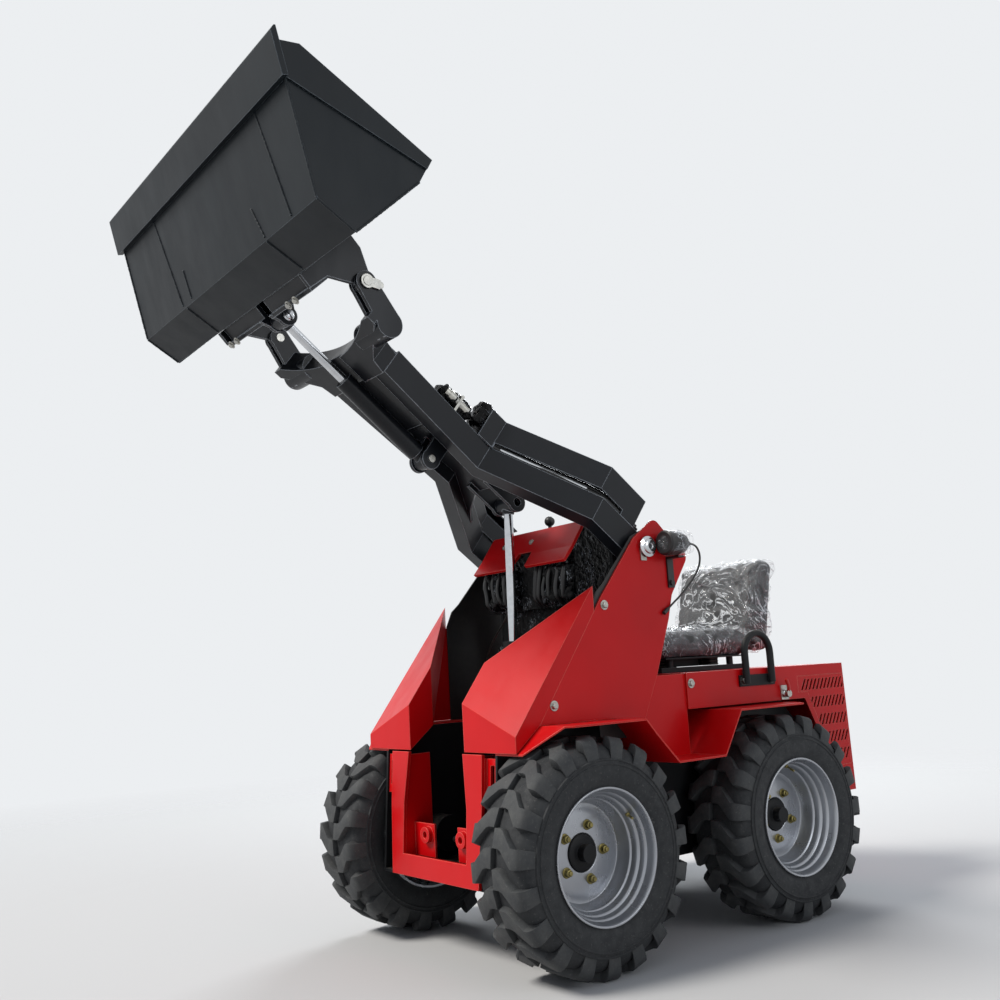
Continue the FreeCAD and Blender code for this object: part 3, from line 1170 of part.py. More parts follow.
# Two quick couplers for attachments, on a bracket between the arms ahead of the left guard.
add_sizes({
    "coupler_y": 66,  # middle of the couplers' bracket from the machine's middle
    "coupler_along": 585,  # rear end of the couplers along the boom
    "coupler_long": 92,  # length of a coupler
    "coupler_radius": 15,  # radius of a coupler
    "coupler_up": 84,  # couplers above the pivot's line
    "coupler_spread": 40,  # coupler to coupler
    "coupler_wall": 8,  # thickness of the couplers' bracket
})
coupler_pieces = [
    block("coupler_foot", ("coupler_along + 20", "coupler_y", "arm_high"),
          ("coupler_along + 70", "coupler_y + 34", "arm_high + coupler_wall")),
    block("coupler_plate", ("coupler_along + 36", "coupler_y - coupler_spread / 2 - 18", "arm_high"),
          ("coupler_along + 36 + coupler_wall", "coupler_y + coupler_spread / 2 + 18", "coupler_up + 22")),
]
for side in ("-", "+"):
    middle = "coupler_y %s coupler_spread / 2" % side
    coupler_pieces.append(rod("coupler_body", "X", ("coupler_along", middle, "coupler_up"), "coupler_long", "coupler_radius"))
    coupler_pieces.append(rod("coupler_collar", "X", ("coupler_along + 56", middle, "coupler_up"), "22", "coupler_radius + 3"))
finish("quick_couplers", joined("couplers", coupler_pieces), boom_place)

# Lift cylinder on the middle line, from a bracket in the tub to the boom's web.
add_sizes({
    "lift_foot_x": -110,  # lift cylinder's foot
    "lift_foot_z": 300,  # its height
    "lift_barrel_radius": 32,  # radius of the lift barrel
    "lift_barrel_long": 545,  # lift barrel from its foot
    "lift_rod_radius": 14,  # radius of the lift rod
    "eye_radius": 25,  # radius of a cylinder's eye
    "lift_eye_half": 32,  # half the width of the lift cylinder's eyes
    "tilt_eye_half": 20,  # half the width of the tilt cylinder's eyes
    "lift_stroke": 377,  # travel of the lift rod
    "tilt_stroke": 150,  # travel of the tilt rod into its barrel
    "bore_start": 46,  # bottom of a barrel's bore from its foot
    "bore_spare": 8,  # rod above the bottom of the bore when it is all the way in
    "tilt_barrel_radius": 27,  # radius of the tilt barrel
    "tilt_barrel_long": 335,  # tilt barrel from its foot
    "tilt_rod_radius": 12.5,  # radius of the tilt rod
    "tilt_eye_along": 1148,  # tilt rod's eye along the boom
    "tilt_eye_up": -66,  # tilt rod's eye below the pivot's line
})
turn_in = math.radians(size("boom_angle"))
eye_x = size("pivot_x") + size("lift_eye_along") * math.cos(turn_in) - size("lift_eye_up") * math.sin(turn_in)
eye_z = size("pivot_z") + size("lift_eye_along") * math.sin(turn_in) + size("lift_eye_up") * math.cos(turn_in)
lift_long = math.hypot(eye_x - size("lift_foot_x"), eye_z - size("lift_foot_z"))
lift_lean = math.degrees(math.atan2(eye_x - size("lift_foot_x"), eye_z - size("lift_foot_z")))
lift_place = "placement(vector(frame_shift + lift_foot_x; 0; lift_foot_z); rotation(vector(0; 1; 0); %r))" % lift_lean
tilt_long = math.hypot(size("tilt_eye_along - tilt_foot_along"), size("tilt_eye_up - tilt_foot_up"))
tilt_lean = math.degrees(math.atan2(size("tilt_eye_up - tilt_foot_up"), size("tilt_eye_along - tilt_foot_along")))
foot_x = size("pivot_x") + size("tilt_foot_along") * math.cos(turn_in) - size("tilt_foot_up") * math.sin(turn_in)
foot_z = size("pivot_z") + size("tilt_foot_along") * math.sin(turn_in) + size("tilt_foot_up") * math.cos(turn_in)
tilt_place = ("placement(vector(frame_shift + %r; 0; %r); rotation(vector(0; 1; 0); 90 - boom_angle - %r))"
              % (foot_x, foot_z, tilt_lean))


def cylinder_pair(kind, place, long, pin_radius):
    """Barrel and rod of a cylinder that stands on its foot and points up, in its own frame."""
    size_of = {part: kind + "_" + part for part in ("barrel_radius", "barrel_long", "rod_radius", "eye_half", "stroke")}
    half = size_of["eye_half"]
    eye = rod(kind + "_foot_eye", "Y", ("0", "-" + half, "0"), "2 * " + half, "eye_radius")
    neck = rod(kind + "_neck", "Z", ("0", "0", "0"), "lug_round + 8", "tilt_eye_half - 1")
    tube = rod(kind + "_tube", "Z", ("0", "0", "lug_round + 6"), size_of["barrel_long"] + " - lug_round - 6", size_of["barrel_radius"])
    inside = rod(kind + "_inside", "Z", ("0", "0", "bore_start"), size_of["barrel_long"], size_of["rod_radius"] + " + running_gap")
    hole = rod(kind + "_foot_bore", "Y", ("0", "-%s - 1" % half, "0"), "2 * %s + 2" % half, pin_radius + " + running_gap")
    finish(kind + "_barrel", cut(kind + "_barrel_cut", joined(kind + "_barrel_form", [eye, neck, tube]), [inside, hole]), place)
    far = repr(long)
    root = "bore_start + bore_spare + " + size_of["stroke"]
    top = rod(kind + "_eye", "Y", ("0", "-" + half, far), "2 * " + half, "eye_radius")
    shaft = rod(kind + "_shaft", "Z", ("0", "0", root), "%s - 5 - (%s)" % (far, root), size_of["rod_radius"])
    short_pin = rod(kind + "_eye_pin", "Y", ("0", "-%s - 3" % half, far), "2 * %s + 6" % half, pin_radius)
    finish(kind + "_rod", joined(kind + "_rod_form", [shaft, top, short_pin]), place)


cylinder_pair("lift", lift_place, lift_long, "lift_pin")
cylinder_pair("tilt", tilt_place, tilt_long, "tilt_pin")
foot_pin = rod("tilt_foot_pin_form", "Y", ("tilt_foot_along", "-tilt_gap - lug_wall - 6", "tilt_foot_up"),
               "2 * (tilt_gap + lug_wall + 6)", "tilt_pin")
finish("tilt_foot_pin", collected("tilt_foot_pin_group", [foot_pin]), boom_place)

# Bracket for the foot of the lift cylinder.
beam = block("lift_beam", ("lift_foot_x - 45", "-frame_y + frame_wall", "belly_z + frame_wall"), ("lift_foot_x + 45", "frame_y - frame_wall", "belly_z + 45"))
stands = []
for start in ("lift_gap", "-lift_gap - lug_wall"):
    stands.append(rod("lift_stand_eye", "Y", ("lift_foot_x", start, "lift_foot_z"), "lug_wall", "lug_round"))
    stands.append(block("lift_stand", ("lift_foot_x - lug_round", start, "belly_z + 40"), ("lift_foot_x + lug_round", start + " + lug_wall", "lift_foot_z")))
foot_pin = rod("lift_foot_pin", "Y", ("lift_foot_x", "-lift_gap - lug_wall - 6", "lift_foot_z"),
               "2 * (lift_gap + lug_wall + 6)", "lift_pin")
finish("lift_bracket", joined("lift_bracket_form", [beam, foot_pin] + stands))

# Bucket: folded shell, closed by two side plates, with a cutting edge along its lip.
add_sizes({
    "bucket_half": 553,  # half the bucket's width
    "edge_half": 571,  # half the cutting edge
    "bucket_sheet": 7,  # thickness of the bucket's shell
    "lip_x": 872,  # front end of the floor
    "lip_z": 2150,  # its height
    "heel_front_x": 784,  # front of the heel
    "heel_front_z": 1813,  # its height
    "heel_rear_x": 688,  # rear of the heel
    "heel_rear_z": 1754,  # its height
    "back_x": 508,  # upper bend of the back
    "back_z": 1920,  # its height
    "rim_x": 473,  # upper rim of the bucket
    "rim_z": 1983,  # its height
    "side_top_x": 819,  # front corner of the side plates
    "side_top_z": 2183,  # its height
    "edge_lap": 75,  # cutting edge behind the lip, on the floor
    "edge_reach": 40,  # cutting edge ahead of the lip
    "edge_wall": 16,  # thickness of the cutting edge
    "edge_bevel": 11,  # bevel along the cutting edge's tip
})
shell = new_body("bucket_body")
pad(shell, "bucket_outside", "XZ", [
    ("lip_x", "lip_z"), ("heel_front_x", "heel_front_z"), ("heel_rear_x", "heel_rear_z"),
    ("back_x", "back_z"), ("rim_x", "rim_z"), ("side_top_x", "side_top_z - 12"), ("lip_x - 3", "lip_z + 14"),
], "-bucket_half", "bucket_half")
pocket(shell, "bucket_inside", "XZ", [
    ("lip_x - bucket_sheet + 10", "lip_z + 40"), ("heel_front_x - bucket_sheet + 1", "heel_front_z + 4"),
    ("heel_rear_x + 1", "heel_rear_z + bucket_sheet + 2"), ("back_x + bucket_sheet", "back_z + 3"),
    ("rim_x + bucket_sheet - 2", "rim_z + 20"), ("side_top_x", "side_top_z + 60"),
], "-bucket_half + bucket_sheet", "bucket_half - bucket_sheet")
finish("bucket", shell)


def on_floor(along, out):
    """A point of the cutting edge: along the bucket's floor from its lip, and out from its outer face."""
    run, rise = "(lip_x - heel_front_x)", "(lip_z - heel_front_z)"
    long = "sqrt(%s * %s + %s * %s)" % (run, run, rise, rise)
    return ("lip_x + ((%s) * %s + (%s) * %s) / %s" % (along, run, out, rise, long),
            "lip_z + ((%s) * %s - (%s) * %s) / %s" % (along, rise, out, run, long))


edge = new_body("edge_body")
pad(edge, "edge_pad", "XZ", [
    on_floor("-edge_lap", "seam"), on_floor("-edge_lap", "edge_wall"), on_floor("edge_reach - edge_bevel", "edge_wall"),
    on_floor("edge_reach", "edge_wall - edge_bevel"), on_floor("edge_reach", "seam"),
], "-edge_half", "edge_half")
finish("cutting_edge", edge)

# Side cutters: a tapered strip on each side plate, along the bucket's open edge.
add_sizes({
    "cutter_wall": 6,  # thickness of a side cutter
    "cutter_front_z": 2080,  # foot of a side cutter at the front
    "cutter_rear_z": 1956,  # foot of a side cutter at the back
})
floor_at_cutter = "lip_x - (lip_z - cutter_front_z) * (lip_x - heel_front_x) / (lip_z - heel_front_z)"
back_at_cutter = "back_x - (cutter_rear_z - back_z) * (back_x - rim_x) / (rim_z - back_z)"
cutter = new_body("cutter_body")
pad(cutter, "cutter_pad", "XZ", [
    (floor_at_cutter, "cutter_front_z"), ("lip_x", "lip_z"), ("lip_x - 3", "lip_z + 14"),
    ("side_top_x", "side_top_z - 12"), ("rim_x", "rim_z"), (back_at_cutter, "cutter_rear_z"),
], "bucket_half", "bucket_half + cutter_wall")
finish("side_cutters", both_sides("cutters", cutter))

# Quick attach: the frame on the bucket's back that turns on the boom's ears.
add_sizes({
    "attach_half": 240,  # half the quick attach plate
    "attach_off": 40,  # quick attach plate off the bucket's back
    "attach_wall": 12,  # thickness of the quick attach plate
    "attach_long": 190,  # length of the quick attach plate along the bucket's back
    "tilt_lug_round": 28,  # radius of the lug for the tilt rod
})
hinge_wx = size("pivot_x") + size("hinge_along") * math.cos(turn_in) - size("hinge_up") * math.sin(turn_in)
hinge_wz = size("pivot_z") + size("hinge_along") * math.sin(turn_in) + size("hinge_up") * math.cos(turn_in)
tilt_wx = size("pivot_x") + size("tilt_eye_along") * math.cos(turn_in) - size("tilt_eye_up") * math.sin(turn_in)
tilt_wz = size("pivot_z") + size("tilt_eye_along") * math.sin(turn_in) + size("tilt_eye_up") * math.cos(turn_in)
back_run = Vector(size("back_x - heel_rear_x"), 0, size("back_z - heel_rear_z")).normalize()
back_out = Vector(-back_run.z, 0, back_run.x)
heel = Vector(size("heel_rear_x"), 0, size("heel_rear_z"))
hinge_point = Vector(hinge_wx, 0, hinge_wz)
eye_point = Vector(tilt_wx, 0, tilt_wz)


def slab(corners, low, high):
    """A flat plate across the machine from low to high with the given corners in its side view."""
    ring = [Vector(point.x, low, point.z) for point in corners]
    return Part.Face(Part.makePolygon(ring + ring[:1])).extrude(Vector(0, high - low, 0))


def attach_shape():
    off, wall, long = size("attach_off"), size("attach_wall"), size("attach_long")
    half = size("attach_half")
    foot = heel + back_run * 8
    plate = slab([foot + back_out * off, foot + back_out * (off + wall),
                  foot + back_run * long + back_out * (off + wall), foot + back_run * long + back_out * off], -half, half)
    shape = plate
    for along in (20, long - 30):
        rail = slab([heel + back_run * along + back_out * 0.5, heel + back_run * along + back_out * (off + 1),
                     heel + back_run * (along + 14) + back_out * (off + 1), heel + back_run * (along + 14) + back_out * 0.5],
                    -half, half)
        shape = shape.fuse(rail)
    gap, wall_y, top = size("ear_gap"), size("ear_wall"), size("head_half")
    middle = top - wall_y - gap / 2
    thin = gap / 2 - 2
    for sign in (1, -1):
        low, high = sorted((sign * (middle - thin), sign * (middle + thin)))
        ear_plate = slab([foot + back_out * (off + 2), foot + back_run * 62 + back_out * (off + 6),
                          hinge_point - back_out * 12 - back_run * 22, hinge_point + back_out * 15 - back_run * 20, hinge_point + back_out * 10 + back_run * 24,
                          foot + back_run * (long + 10) + back_out * (off + 2), foot + back_run * (long + 10) + back_out * 1,
                          foot + back_out * 1], low, high)
        ring = Part.makeCylinder(26, high - low, Vector(hinge_point.x, low, hinge_point.z), Vector(0, 1, 0))
        shape = shape.fuse(ear_plate).fuse(ring)
        link = slab([foot + back_out * off, foot + back_out * (off + wall), foot + back_run * 60 + back_out * (off + wall),
                     foot + back_run * 60 + back_out * off], *sorted((sign * (half - 4), sign * (middle))))
        shape = shape.fuse(link)
        inner_y, outer_y = sorted((sign * size("tilt_gap"), sign * size("tilt_gap + lug_wall")))
        ring = Part.makeCylinder(size("tilt_lug_round"), outer_y - inner_y, Vector(eye_point.x, inner_y, eye_point.z), Vector(0, 1, 0))
        stem = slab([eye_point + back_out * 20, eye_point - back_run * 27, foot + back_out * (off + 1) - back_run * 4,
                     foot + back_run * 85 + back_out * (off + 1), eye_point + back_run * 27], inner_y, outer_y)
        shape = shape.fuse(ring).fuse(stem)
    window = slab([foot - back_run * 20, foot - back_run * 20 + back_out * (off + wall + 1),
                   foot + back_run * 92 + back_out * (off + wall + 1), foot + back_run * 92],
                  -size("tilt_gap"), size("tilt_gap"))
    shape = shape.cut(window)
    for point, radius in ((hinge_point, size("bucket_pin + running_gap")), (eye_point, size("tilt_pin + running_gap"))):
        shape = shape.cut(Part.makeCylinder(radius, 600, Vector(point.x, -300, point.z), Vector(0, 1, 0)))
    return shape.removeSplitter()


attach = document.addObject("Part::Feature", "attach_form")
attach.Shape = attach_shape()
finish("quick_attach", attach)

document.recompute()

# Stop on anything that failed, and only then write the files.
for thing in document.Objects:
    states = list(thing.State)
    if "Invalid" in states or "Error" in states:
        raise RuntimeError(thing.Name + " failed: " + str(states))
for thing in finished:
    if thing.Shape.isNull() or not thing.Shape.isValid():
        raise RuntimeError(thing.Label + " has no valid shape")
for thing in finished:
    thing.Shape.exportStep("parts/" + thing.Label + ".step")
print(len(finished), "sub-parts written")
print("lift cylinder", round(lift_long, 1), "long, leaning", round(lift_lean, 2))
print("tilt cylinder", round(tilt_long, 1), "long, foot at", round(foot_x, 1), round(foot_z, 1))
print("bucket hinge", round(hinge_wx, 1), round(hinge_wz, 1), "tilt eye", round(tilt_wx, 1), round(tilt_wz, 1))
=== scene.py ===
# %% [markdown]
# # A skid steer loader, dressed for its picture
#
# The machine's pieces come in at their true size and place as a fixed frame. This lesson
# gives every surface its finish and adds what makes a real loader look used and assembled:
# tyres with moulded lugs, wheel nuts, weld beads, hoses, a wrapped seat and a work lamp.
# All lengths are in metres. X points forward, Y to the driver's left and Z up.

# %% Load the frame
import json
import math
import random

import bmesh
import bpy
from mathutils import Matrix, Vector

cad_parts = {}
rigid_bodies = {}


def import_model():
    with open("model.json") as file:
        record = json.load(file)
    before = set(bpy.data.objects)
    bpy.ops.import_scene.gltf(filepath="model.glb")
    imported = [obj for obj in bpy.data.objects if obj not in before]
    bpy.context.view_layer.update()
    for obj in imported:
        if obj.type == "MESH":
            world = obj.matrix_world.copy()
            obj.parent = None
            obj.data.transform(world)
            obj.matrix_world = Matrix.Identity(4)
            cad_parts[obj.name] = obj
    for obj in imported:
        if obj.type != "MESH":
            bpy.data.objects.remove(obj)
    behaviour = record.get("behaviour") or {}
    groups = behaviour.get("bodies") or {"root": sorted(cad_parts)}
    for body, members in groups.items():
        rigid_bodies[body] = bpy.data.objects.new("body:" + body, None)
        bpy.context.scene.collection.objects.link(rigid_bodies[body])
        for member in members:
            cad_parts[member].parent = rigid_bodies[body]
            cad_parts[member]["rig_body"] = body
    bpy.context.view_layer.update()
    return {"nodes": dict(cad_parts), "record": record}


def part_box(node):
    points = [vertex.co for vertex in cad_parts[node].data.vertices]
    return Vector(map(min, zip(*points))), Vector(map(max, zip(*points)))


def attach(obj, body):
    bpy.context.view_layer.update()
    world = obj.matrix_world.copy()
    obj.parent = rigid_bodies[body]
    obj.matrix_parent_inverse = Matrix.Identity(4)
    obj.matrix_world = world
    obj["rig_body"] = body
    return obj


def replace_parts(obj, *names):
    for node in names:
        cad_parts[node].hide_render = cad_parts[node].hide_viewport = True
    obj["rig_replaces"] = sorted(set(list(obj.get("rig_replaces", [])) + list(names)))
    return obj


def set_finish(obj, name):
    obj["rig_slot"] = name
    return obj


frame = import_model()

# %% [markdown]
# ## Places that the pieces share
#
# The wheels, the boom's own slanted frame and the pins are used again and again, so their
# places are named once. A point on the boom is easiest to think of as so far along the arms
# and so far square to them, which on_boom turns into the machine's frame.

# %% Shared places
shift = 0.1685
axle_z = 0.292
front_x = shift
rear_x = shift - 0.771
wheel_y = 0.395
body_y = 0.362
pivot = Vector((shift - 0.346, 0, 1.090))
boom_rise = math.radians(37.4)
boom_ahead = Vector((math.cos(boom_rise), 0, math.sin(boom_rise)))
boom_square = Vector((-math.sin(boom_rise), 0, math.cos(boom_rise)))


def on_boom(along, across, above):
    """A point of the raised boom: along the arms, to the left, and square above the pivot's line."""
    return pivot + boom_ahead * along + boom_square * above + Vector((0, across, 0))


# %% [markdown]
# ## The camera
#
# The picture is taken from low down at the machine's front left corner, looking slightly up,
# so the raised bucket towers over the body. The camera is placed by where it stands and by
# the three turns of a hand-held camera: to the side, up, and a small roll.

# %% Camera
camera_place = Vector((1.9835, 2.494, 0.756))
camera_yaw = math.radians(-127.57)
camera_pitch = math.radians(9.36)
camera_roll = math.radians(-3.30)
camera_lens = 37.6

ahead = Vector((math.cos(camera_yaw) * math.cos(camera_pitch), math.sin(camera_yaw) * math.cos(camera_pitch),
                math.sin(camera_pitch)))
level = Vector((math.sin(camera_yaw), -math.cos(camera_yaw), 0))
upright = level.cross(ahead)
right = level * math.cos(camera_roll) + upright * math.sin(camera_roll)
up = upright * math.cos(camera_roll) - level * math.sin(camera_roll)
turned_camera = Matrix((right, up, -ahead)).transposed().to_4x4()

camera = bpy.data.objects.new("camera", bpy.data.cameras.new("camera"))
bpy.context.scene.collection.objects.link(camera)
camera.matrix_world = Matrix.Translation(camera_place) @ turned_camera
camera.data.sensor_width = 36
camera.data.lens = camera_lens
camera.data.clip_start = 0.05
camera.data.clip_end = 200
bpy.context.scene.camera = camera
print("camera", round((camera_place - pivot).length, 2), "m from the boom's pivot")

# %% [markdown]
# ## Working by hand, in code
#
# These few helpers stand for what a modeller does with the mouse: drop the selection, add a
# primitive, open it for editing, and pick faces by where they are or which way they look.

# %% Helpers for modelling
def drop_selection():
    """Leave edit mode with nothing selected."""
    if bpy.context.object and bpy.context.object.mode != "OBJECT":
        bpy.ops.object.mode_set(mode="OBJECT")
    for thing in bpy.context.selected_objects:
        thing.select_set(False)


def choose(*pieces):
    """Select these pieces and make the first one active."""
    drop_selection()
    for piece in pieces:
        piece.select_set(True)
    bpy.context.view_layer.objects.active = pieces[0]


def add(kind, name, **sizes):
    """Add a mesh primitive under its own name."""
    drop_selection()
    getattr(bpy.ops.mesh, "primitive_%s_add" % kind)(**sizes)
    piece = bpy.context.object
    piece.name = name
    piece.data.name = name
    return piece


def add_block(name, low, high):
    """Add a cube stretched between two corners."""
    low, high = Vector(low), Vector(high)
    piece = add("cube", name, size=1, location=(low + high) / 2)
    piece.scale = high - low
    settle(piece)
    return piece


def settle(piece):
    """Put the object at the origin, unturned and unscaled, with its place in its mesh."""
    choose(piece)
    bpy.ops.object.transform_apply(location=True, rotation=True, scale=True)


def open_mesh(piece, kind="FACE"):
    choose(piece)
    bpy.ops.object.mode_set(mode="EDIT")
    bpy.ops.mesh.select_mode(type=kind)
    bpy.ops.mesh.select_all(action="DESELECT")


def close_mesh():
    bpy.ops.object.mode_set(mode="OBJECT")


def pick(piece, test):
    """Select the faces whose middle and normal pass a test, and say how many."""
    mesh = bmesh.from_edit_mesh(piece.data)
    bpy.ops.mesh.select_all(action="DESELECT")
    count = 0
    for face in mesh.faces:
        if test(face.calc_center_median(), face.normal):
            face.select_set(True)
            count += 1
    bmesh.update_edit_mesh(piece.data)
    return count


def pick_points(piece, test):
    """Select the points whose place passes a test."""
    mesh = bmesh.from_edit_mesh(piece.data)
    bpy.ops.mesh.select_all(action="DESELECT")
    for point in mesh.verts:
        if test(point.co):
            point.select_set(True)
    mesh.select_flush(True)
    bmesh.update_edit_mesh(piece.data)


def apply_modifier(piece, kind, **settings):
    """Add a modifier with its settings and apply it."""
    choose(piece)
    modifier = piece.modifiers.new(kind.lower(), kind)
    for setting, value in settings.items():
        setattr(modifier, setting, value)
    bpy.ops.object.modifier_apply(modifier=modifier.name)


def soften(piece, width, segments=2, angle=35):
    """Round the sharp edges, as a cast or folded piece has them."""
    apply_modifier(piece, "BEVEL", width=width, segments=segments, limit_method="ANGLE",
                   angle_limit=math.radians(angle), harden_normals=False)


def smooth(piece, angle=35):
    choose(piece)
    bpy.ops.object.shade_smooth_by_angle(angle=math.radians(angle))


def turned(name, profile, steps=48):
    """Spin a profile of (radius, along) points into a solid about the Y axis."""
    piece = add("plane", name, size=0.001)
    open_mesh(piece, "VERT")
    bpy.ops.mesh.select_all(action="SELECT")
    bpy.ops.mesh.merge(type="CENTER")
    here = Vector((0, 0, 0))
    first = Vector((profile[0][0], profile[0][1], 0))
    bpy.ops.transform.translate(value=first - here)
    for before, after in zip(profile, profile[1:]):
        move = (after[0] - before[0], after[1] - before[1], 0)
        bpy.ops.mesh.extrude_vertices_move(TRANSFORM_OT_translate={"value": move})
    bpy.ops.mesh.select_all(action="SELECT")
    bpy.ops.mesh.spin(steps=steps, angle=2 * math.pi, center=(0, 0, 0), axis=(0, 1, 0))
    bpy.ops.mesh.select_all(action="SELECT")
    bpy.ops.mesh.remove_doubles(threshold=1e-5)
    bpy.ops.mesh.normals_make_consistent(inside=False)
    close_mesh()
    return piece


def copy_of(piece, name, move=(0, 0, 0), turn=0, axis="Y", about=(0, 0, 0)):
    """A copy with its own mesh, turned about a point and then moved, settled at the origin."""
    copy = piece.copy()
    copy.data = piece.data.copy()
    copy.name = name
    copy.data.name = name
    bpy.context.scene.collection.objects.link(copy)
    about = Vector(about)
    copy.data.transform(Matrix.Translation(Vector(move) + about) @ Matrix.Rotation(turn, 4, axis)
                        @ Matrix.Translation(-about))
    return copy


def mirrored(piece, name):
    """The piece's image on the machine's other side, with its faces turned outwards again."""
    copy = copy_of(piece, name)
    copy.data.transform(Matrix.Scale(-1, 4, (0, 1, 0)))
    copy.data.flip_normals()
    return copy


def join(name, pieces):
    """Make one mesh of several pieces."""
    choose(*pieces)
    bpy.ops.object.join()
    piece = bpy.context.object
    piece.name = name
    piece.data.name = name
    return piece


def aim(piece, place, direction):
    """Stand a piece that was made along Y at a place, pointing in a direction, and settle it."""
    turn = Vector((0, 1, 0)).rotation_difference(Vector(direction).normalized()).to_matrix().to_4x4()
    piece.data.transform(Matrix.Translation(Vector(place)) @ turn)
    return piece


def dress(piece, body, slot, material, angle=35):
    """Finish a piece: smooth it, give it its material, and let it ride on its body."""
    settle(piece)
    if piece.type == "MESH":
        smooth(piece, angle)
    piece.data.materials.clear()
    piece.data.materials.append(material)
    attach(piece, body)
    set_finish(piece, slot)
    count = len(piece.data.polygons) if piece.type == "MESH" else 0
    print(piece.name, "rides on", body, "with", count, "faces")
    return piece

# %% [markdown]
# ## Floor and studio light
#
# The floor is a wide pale disc that fades out with distance, so it meets the pale world
# behind it without a line, from any side. One large lamp ahead of the machine gives the soft
# shadows and the long highlights on the paint, a second one fills the driver's side, and a
# third draws the edges from behind.

# %% Helpers for materials
def srgb(red, green, blue):
    """A colour as it is seen, from 0 to 255, as the linear numbers that a shader takes."""
    def linear(value):
        value /= 255
        return value / 12.92 if value <= 0.04045 else ((value + 0.055) / 1.055) ** 2.4
    return (linear(red), linear(green), linear(blue), 1)


def new_material(name, **shader_settings):
    """A material with a Principled shader; returns it with its tree and shader."""
    material = bpy.data.materials.new(name)
    material.use_nodes = True
    tree = material.node_tree
    shader = tree.nodes["Principled BSDF"]
    for setting, value in shader_settings.items():
        shader.inputs[setting.replace("_", " ").title().replace("Ior", "IOR")].default_value = value
    return material, tree, shader


def node(tree, kind, inputs=None, **settings):
    """Add a node, set its properties and the values of its inputs."""
    made = tree.nodes.new("ShaderNode" + kind)
    for setting, value in settings.items():
        setattr(made, setting, value)
    for name, value in (inputs or {}).items():
        made.inputs[name].default_value = value
    return made


def wire(tree, source, target):
    tree.links.new(source, target)


def pattern(tree, scale, detail=4, roughness=0.55, kind="Noise", stretch=(1, 1, 1)):
    """Noise on the object's own coordinates, stretched along its axes if wanted."""
    place = node(tree, "TexCoord")
    mapping = node(tree, "Mapping", {"Scale": stretch})
    wire(tree, place.outputs["Object"], mapping.inputs["Vector"])
    made = node(tree, "Tex" + kind, {"Scale": scale})
    if kind == "Noise":
        made.inputs["Detail"].default_value = detail
        made.inputs["Roughness"].default_value = roughness
    wire(tree, mapping.outputs["Vector"], made.inputs["Vector"])
    return made.outputs["Fac"] if kind == "Noise" else made.outputs["Distance"]


def ramp(tree, value, low, high, start=0.0, end=1.0):
    """Turn a value between low and high into one between start and end."""
    made = node(tree, "MapRange", {"From Min": low, "From Max": high, "To Min": start, "To Max": end})
    made.clamp = True
    wire(tree, value, made.inputs["Value"])
    return made.outputs["Result"]


def blend(tree, amount, first, second):
    """Mix two colours; each is a colour or an output, and amount is an output or a number."""
    made = node(tree, "Mix", data_type="RGBA")
    for socket, value in ((made.inputs["Factor"], amount), (made.inputs[6], first), (made.inputs[7], second)):
        if hasattr(value, "is_output"):
            wire(tree, value, socket)
        else:
            socket.default_value = value
    return made.outputs[2]


def times(tree, first, second):
    made = node(tree, "Math", operation="MULTIPLY")
    for socket, value in zip(made.inputs, (first, second)):
        if hasattr(value, "is_output"):
            wire(tree, value, socket)
        else:
            socket.default_value = value
    return made.outputs[0]


def bump(tree, height, strength, distance, normal=None):
    made = node(tree, "Bump", {"Strength": strength, "Distance": distance})
    wire(tree, height, made.inputs["Height"])
    if normal:
        wire(tree, normal, made.inputs["Normal"])
    return made.outputs["Normal"]


# %% Floor
floor_colour = 0.56
floor_near = 2.0
floor_far = 6.0
floor = add("circle", "floor", vertices=96, radius=floor_far + 1, fill_type="NGON")
floor_paint, tree, shader = new_material("pale_floor", base_color=(floor_colour, floor_colour, floor_colour, 1),
                                         roughness=0.85)
shader.inputs["Specular IOR Level"].default_value = 0.2
distance = node(tree, "VectorMath", operation="LENGTH")
wire(tree, node(tree, "TexCoord").outputs["Object"], distance.inputs[0])
fade = ramp(tree, distance.outputs["Value"], floor_near, floor_far)
seen = node(tree, "LightPath").outputs["Is Camera Ray"]
clear = node(tree, "BsdfTransparent")
meet = node(tree, "MixShader")
wire(tree, times(tree, fade, seen), meet.inputs["Fac"])
wire(tree, shader.outputs["BSDF"], meet.inputs[1])
wire(tree, clear.outputs["BSDF"], meet.inputs[2])
wire(tree, meet.outputs["Shader"], tree.nodes["Material Output"].inputs["Surface"])
floor.data.materials.append(floor_paint)
print("floor fades from", floor_near, "m to", floor_far, "m")

# %% World and lamps
world = bpy.data.worlds.new("pale_world")
bpy.context.scene.world = world
world.use_nodes = True
tree = world.node_tree
backdrop = tree.nodes["Background"]
backdrop.inputs["Color"].default_value = (0.84, 0.86, 0.88, 1)
backdrop.inputs["Strength"].default_value = 1.0
glow = node(tree, "Background", {"Color": (0.80, 0.87, 1.0, 1), "Strength": 0.34})
path = node(tree, "LightPath")
seen = node(tree, "Math", operation="MAXIMUM")
wire(tree, path.outputs["Is Camera Ray"], seen.inputs[0])
wire(tree, path.outputs["Is Transmission Ray"], seen.inputs[1])
mirrored_ray = node(tree, "Math", operation="MAXIMUM")
wire(tree, seen.outputs[0], mirrored_ray.inputs[0])
wire(tree, path.outputs["Is Glossy Ray"], mirrored_ray.inputs[1])
either = node(tree, "MixShader")
wire(tree, mirrored_ray.outputs[0], either.inputs["Fac"])
wire(tree, glow.outputs["Background"], either.inputs[1])
wire(tree, backdrop.outputs["Background"], either.inputs[2])
wire(tree, either.outputs["Shader"], tree.nodes["World Output"].inputs["Surface"])


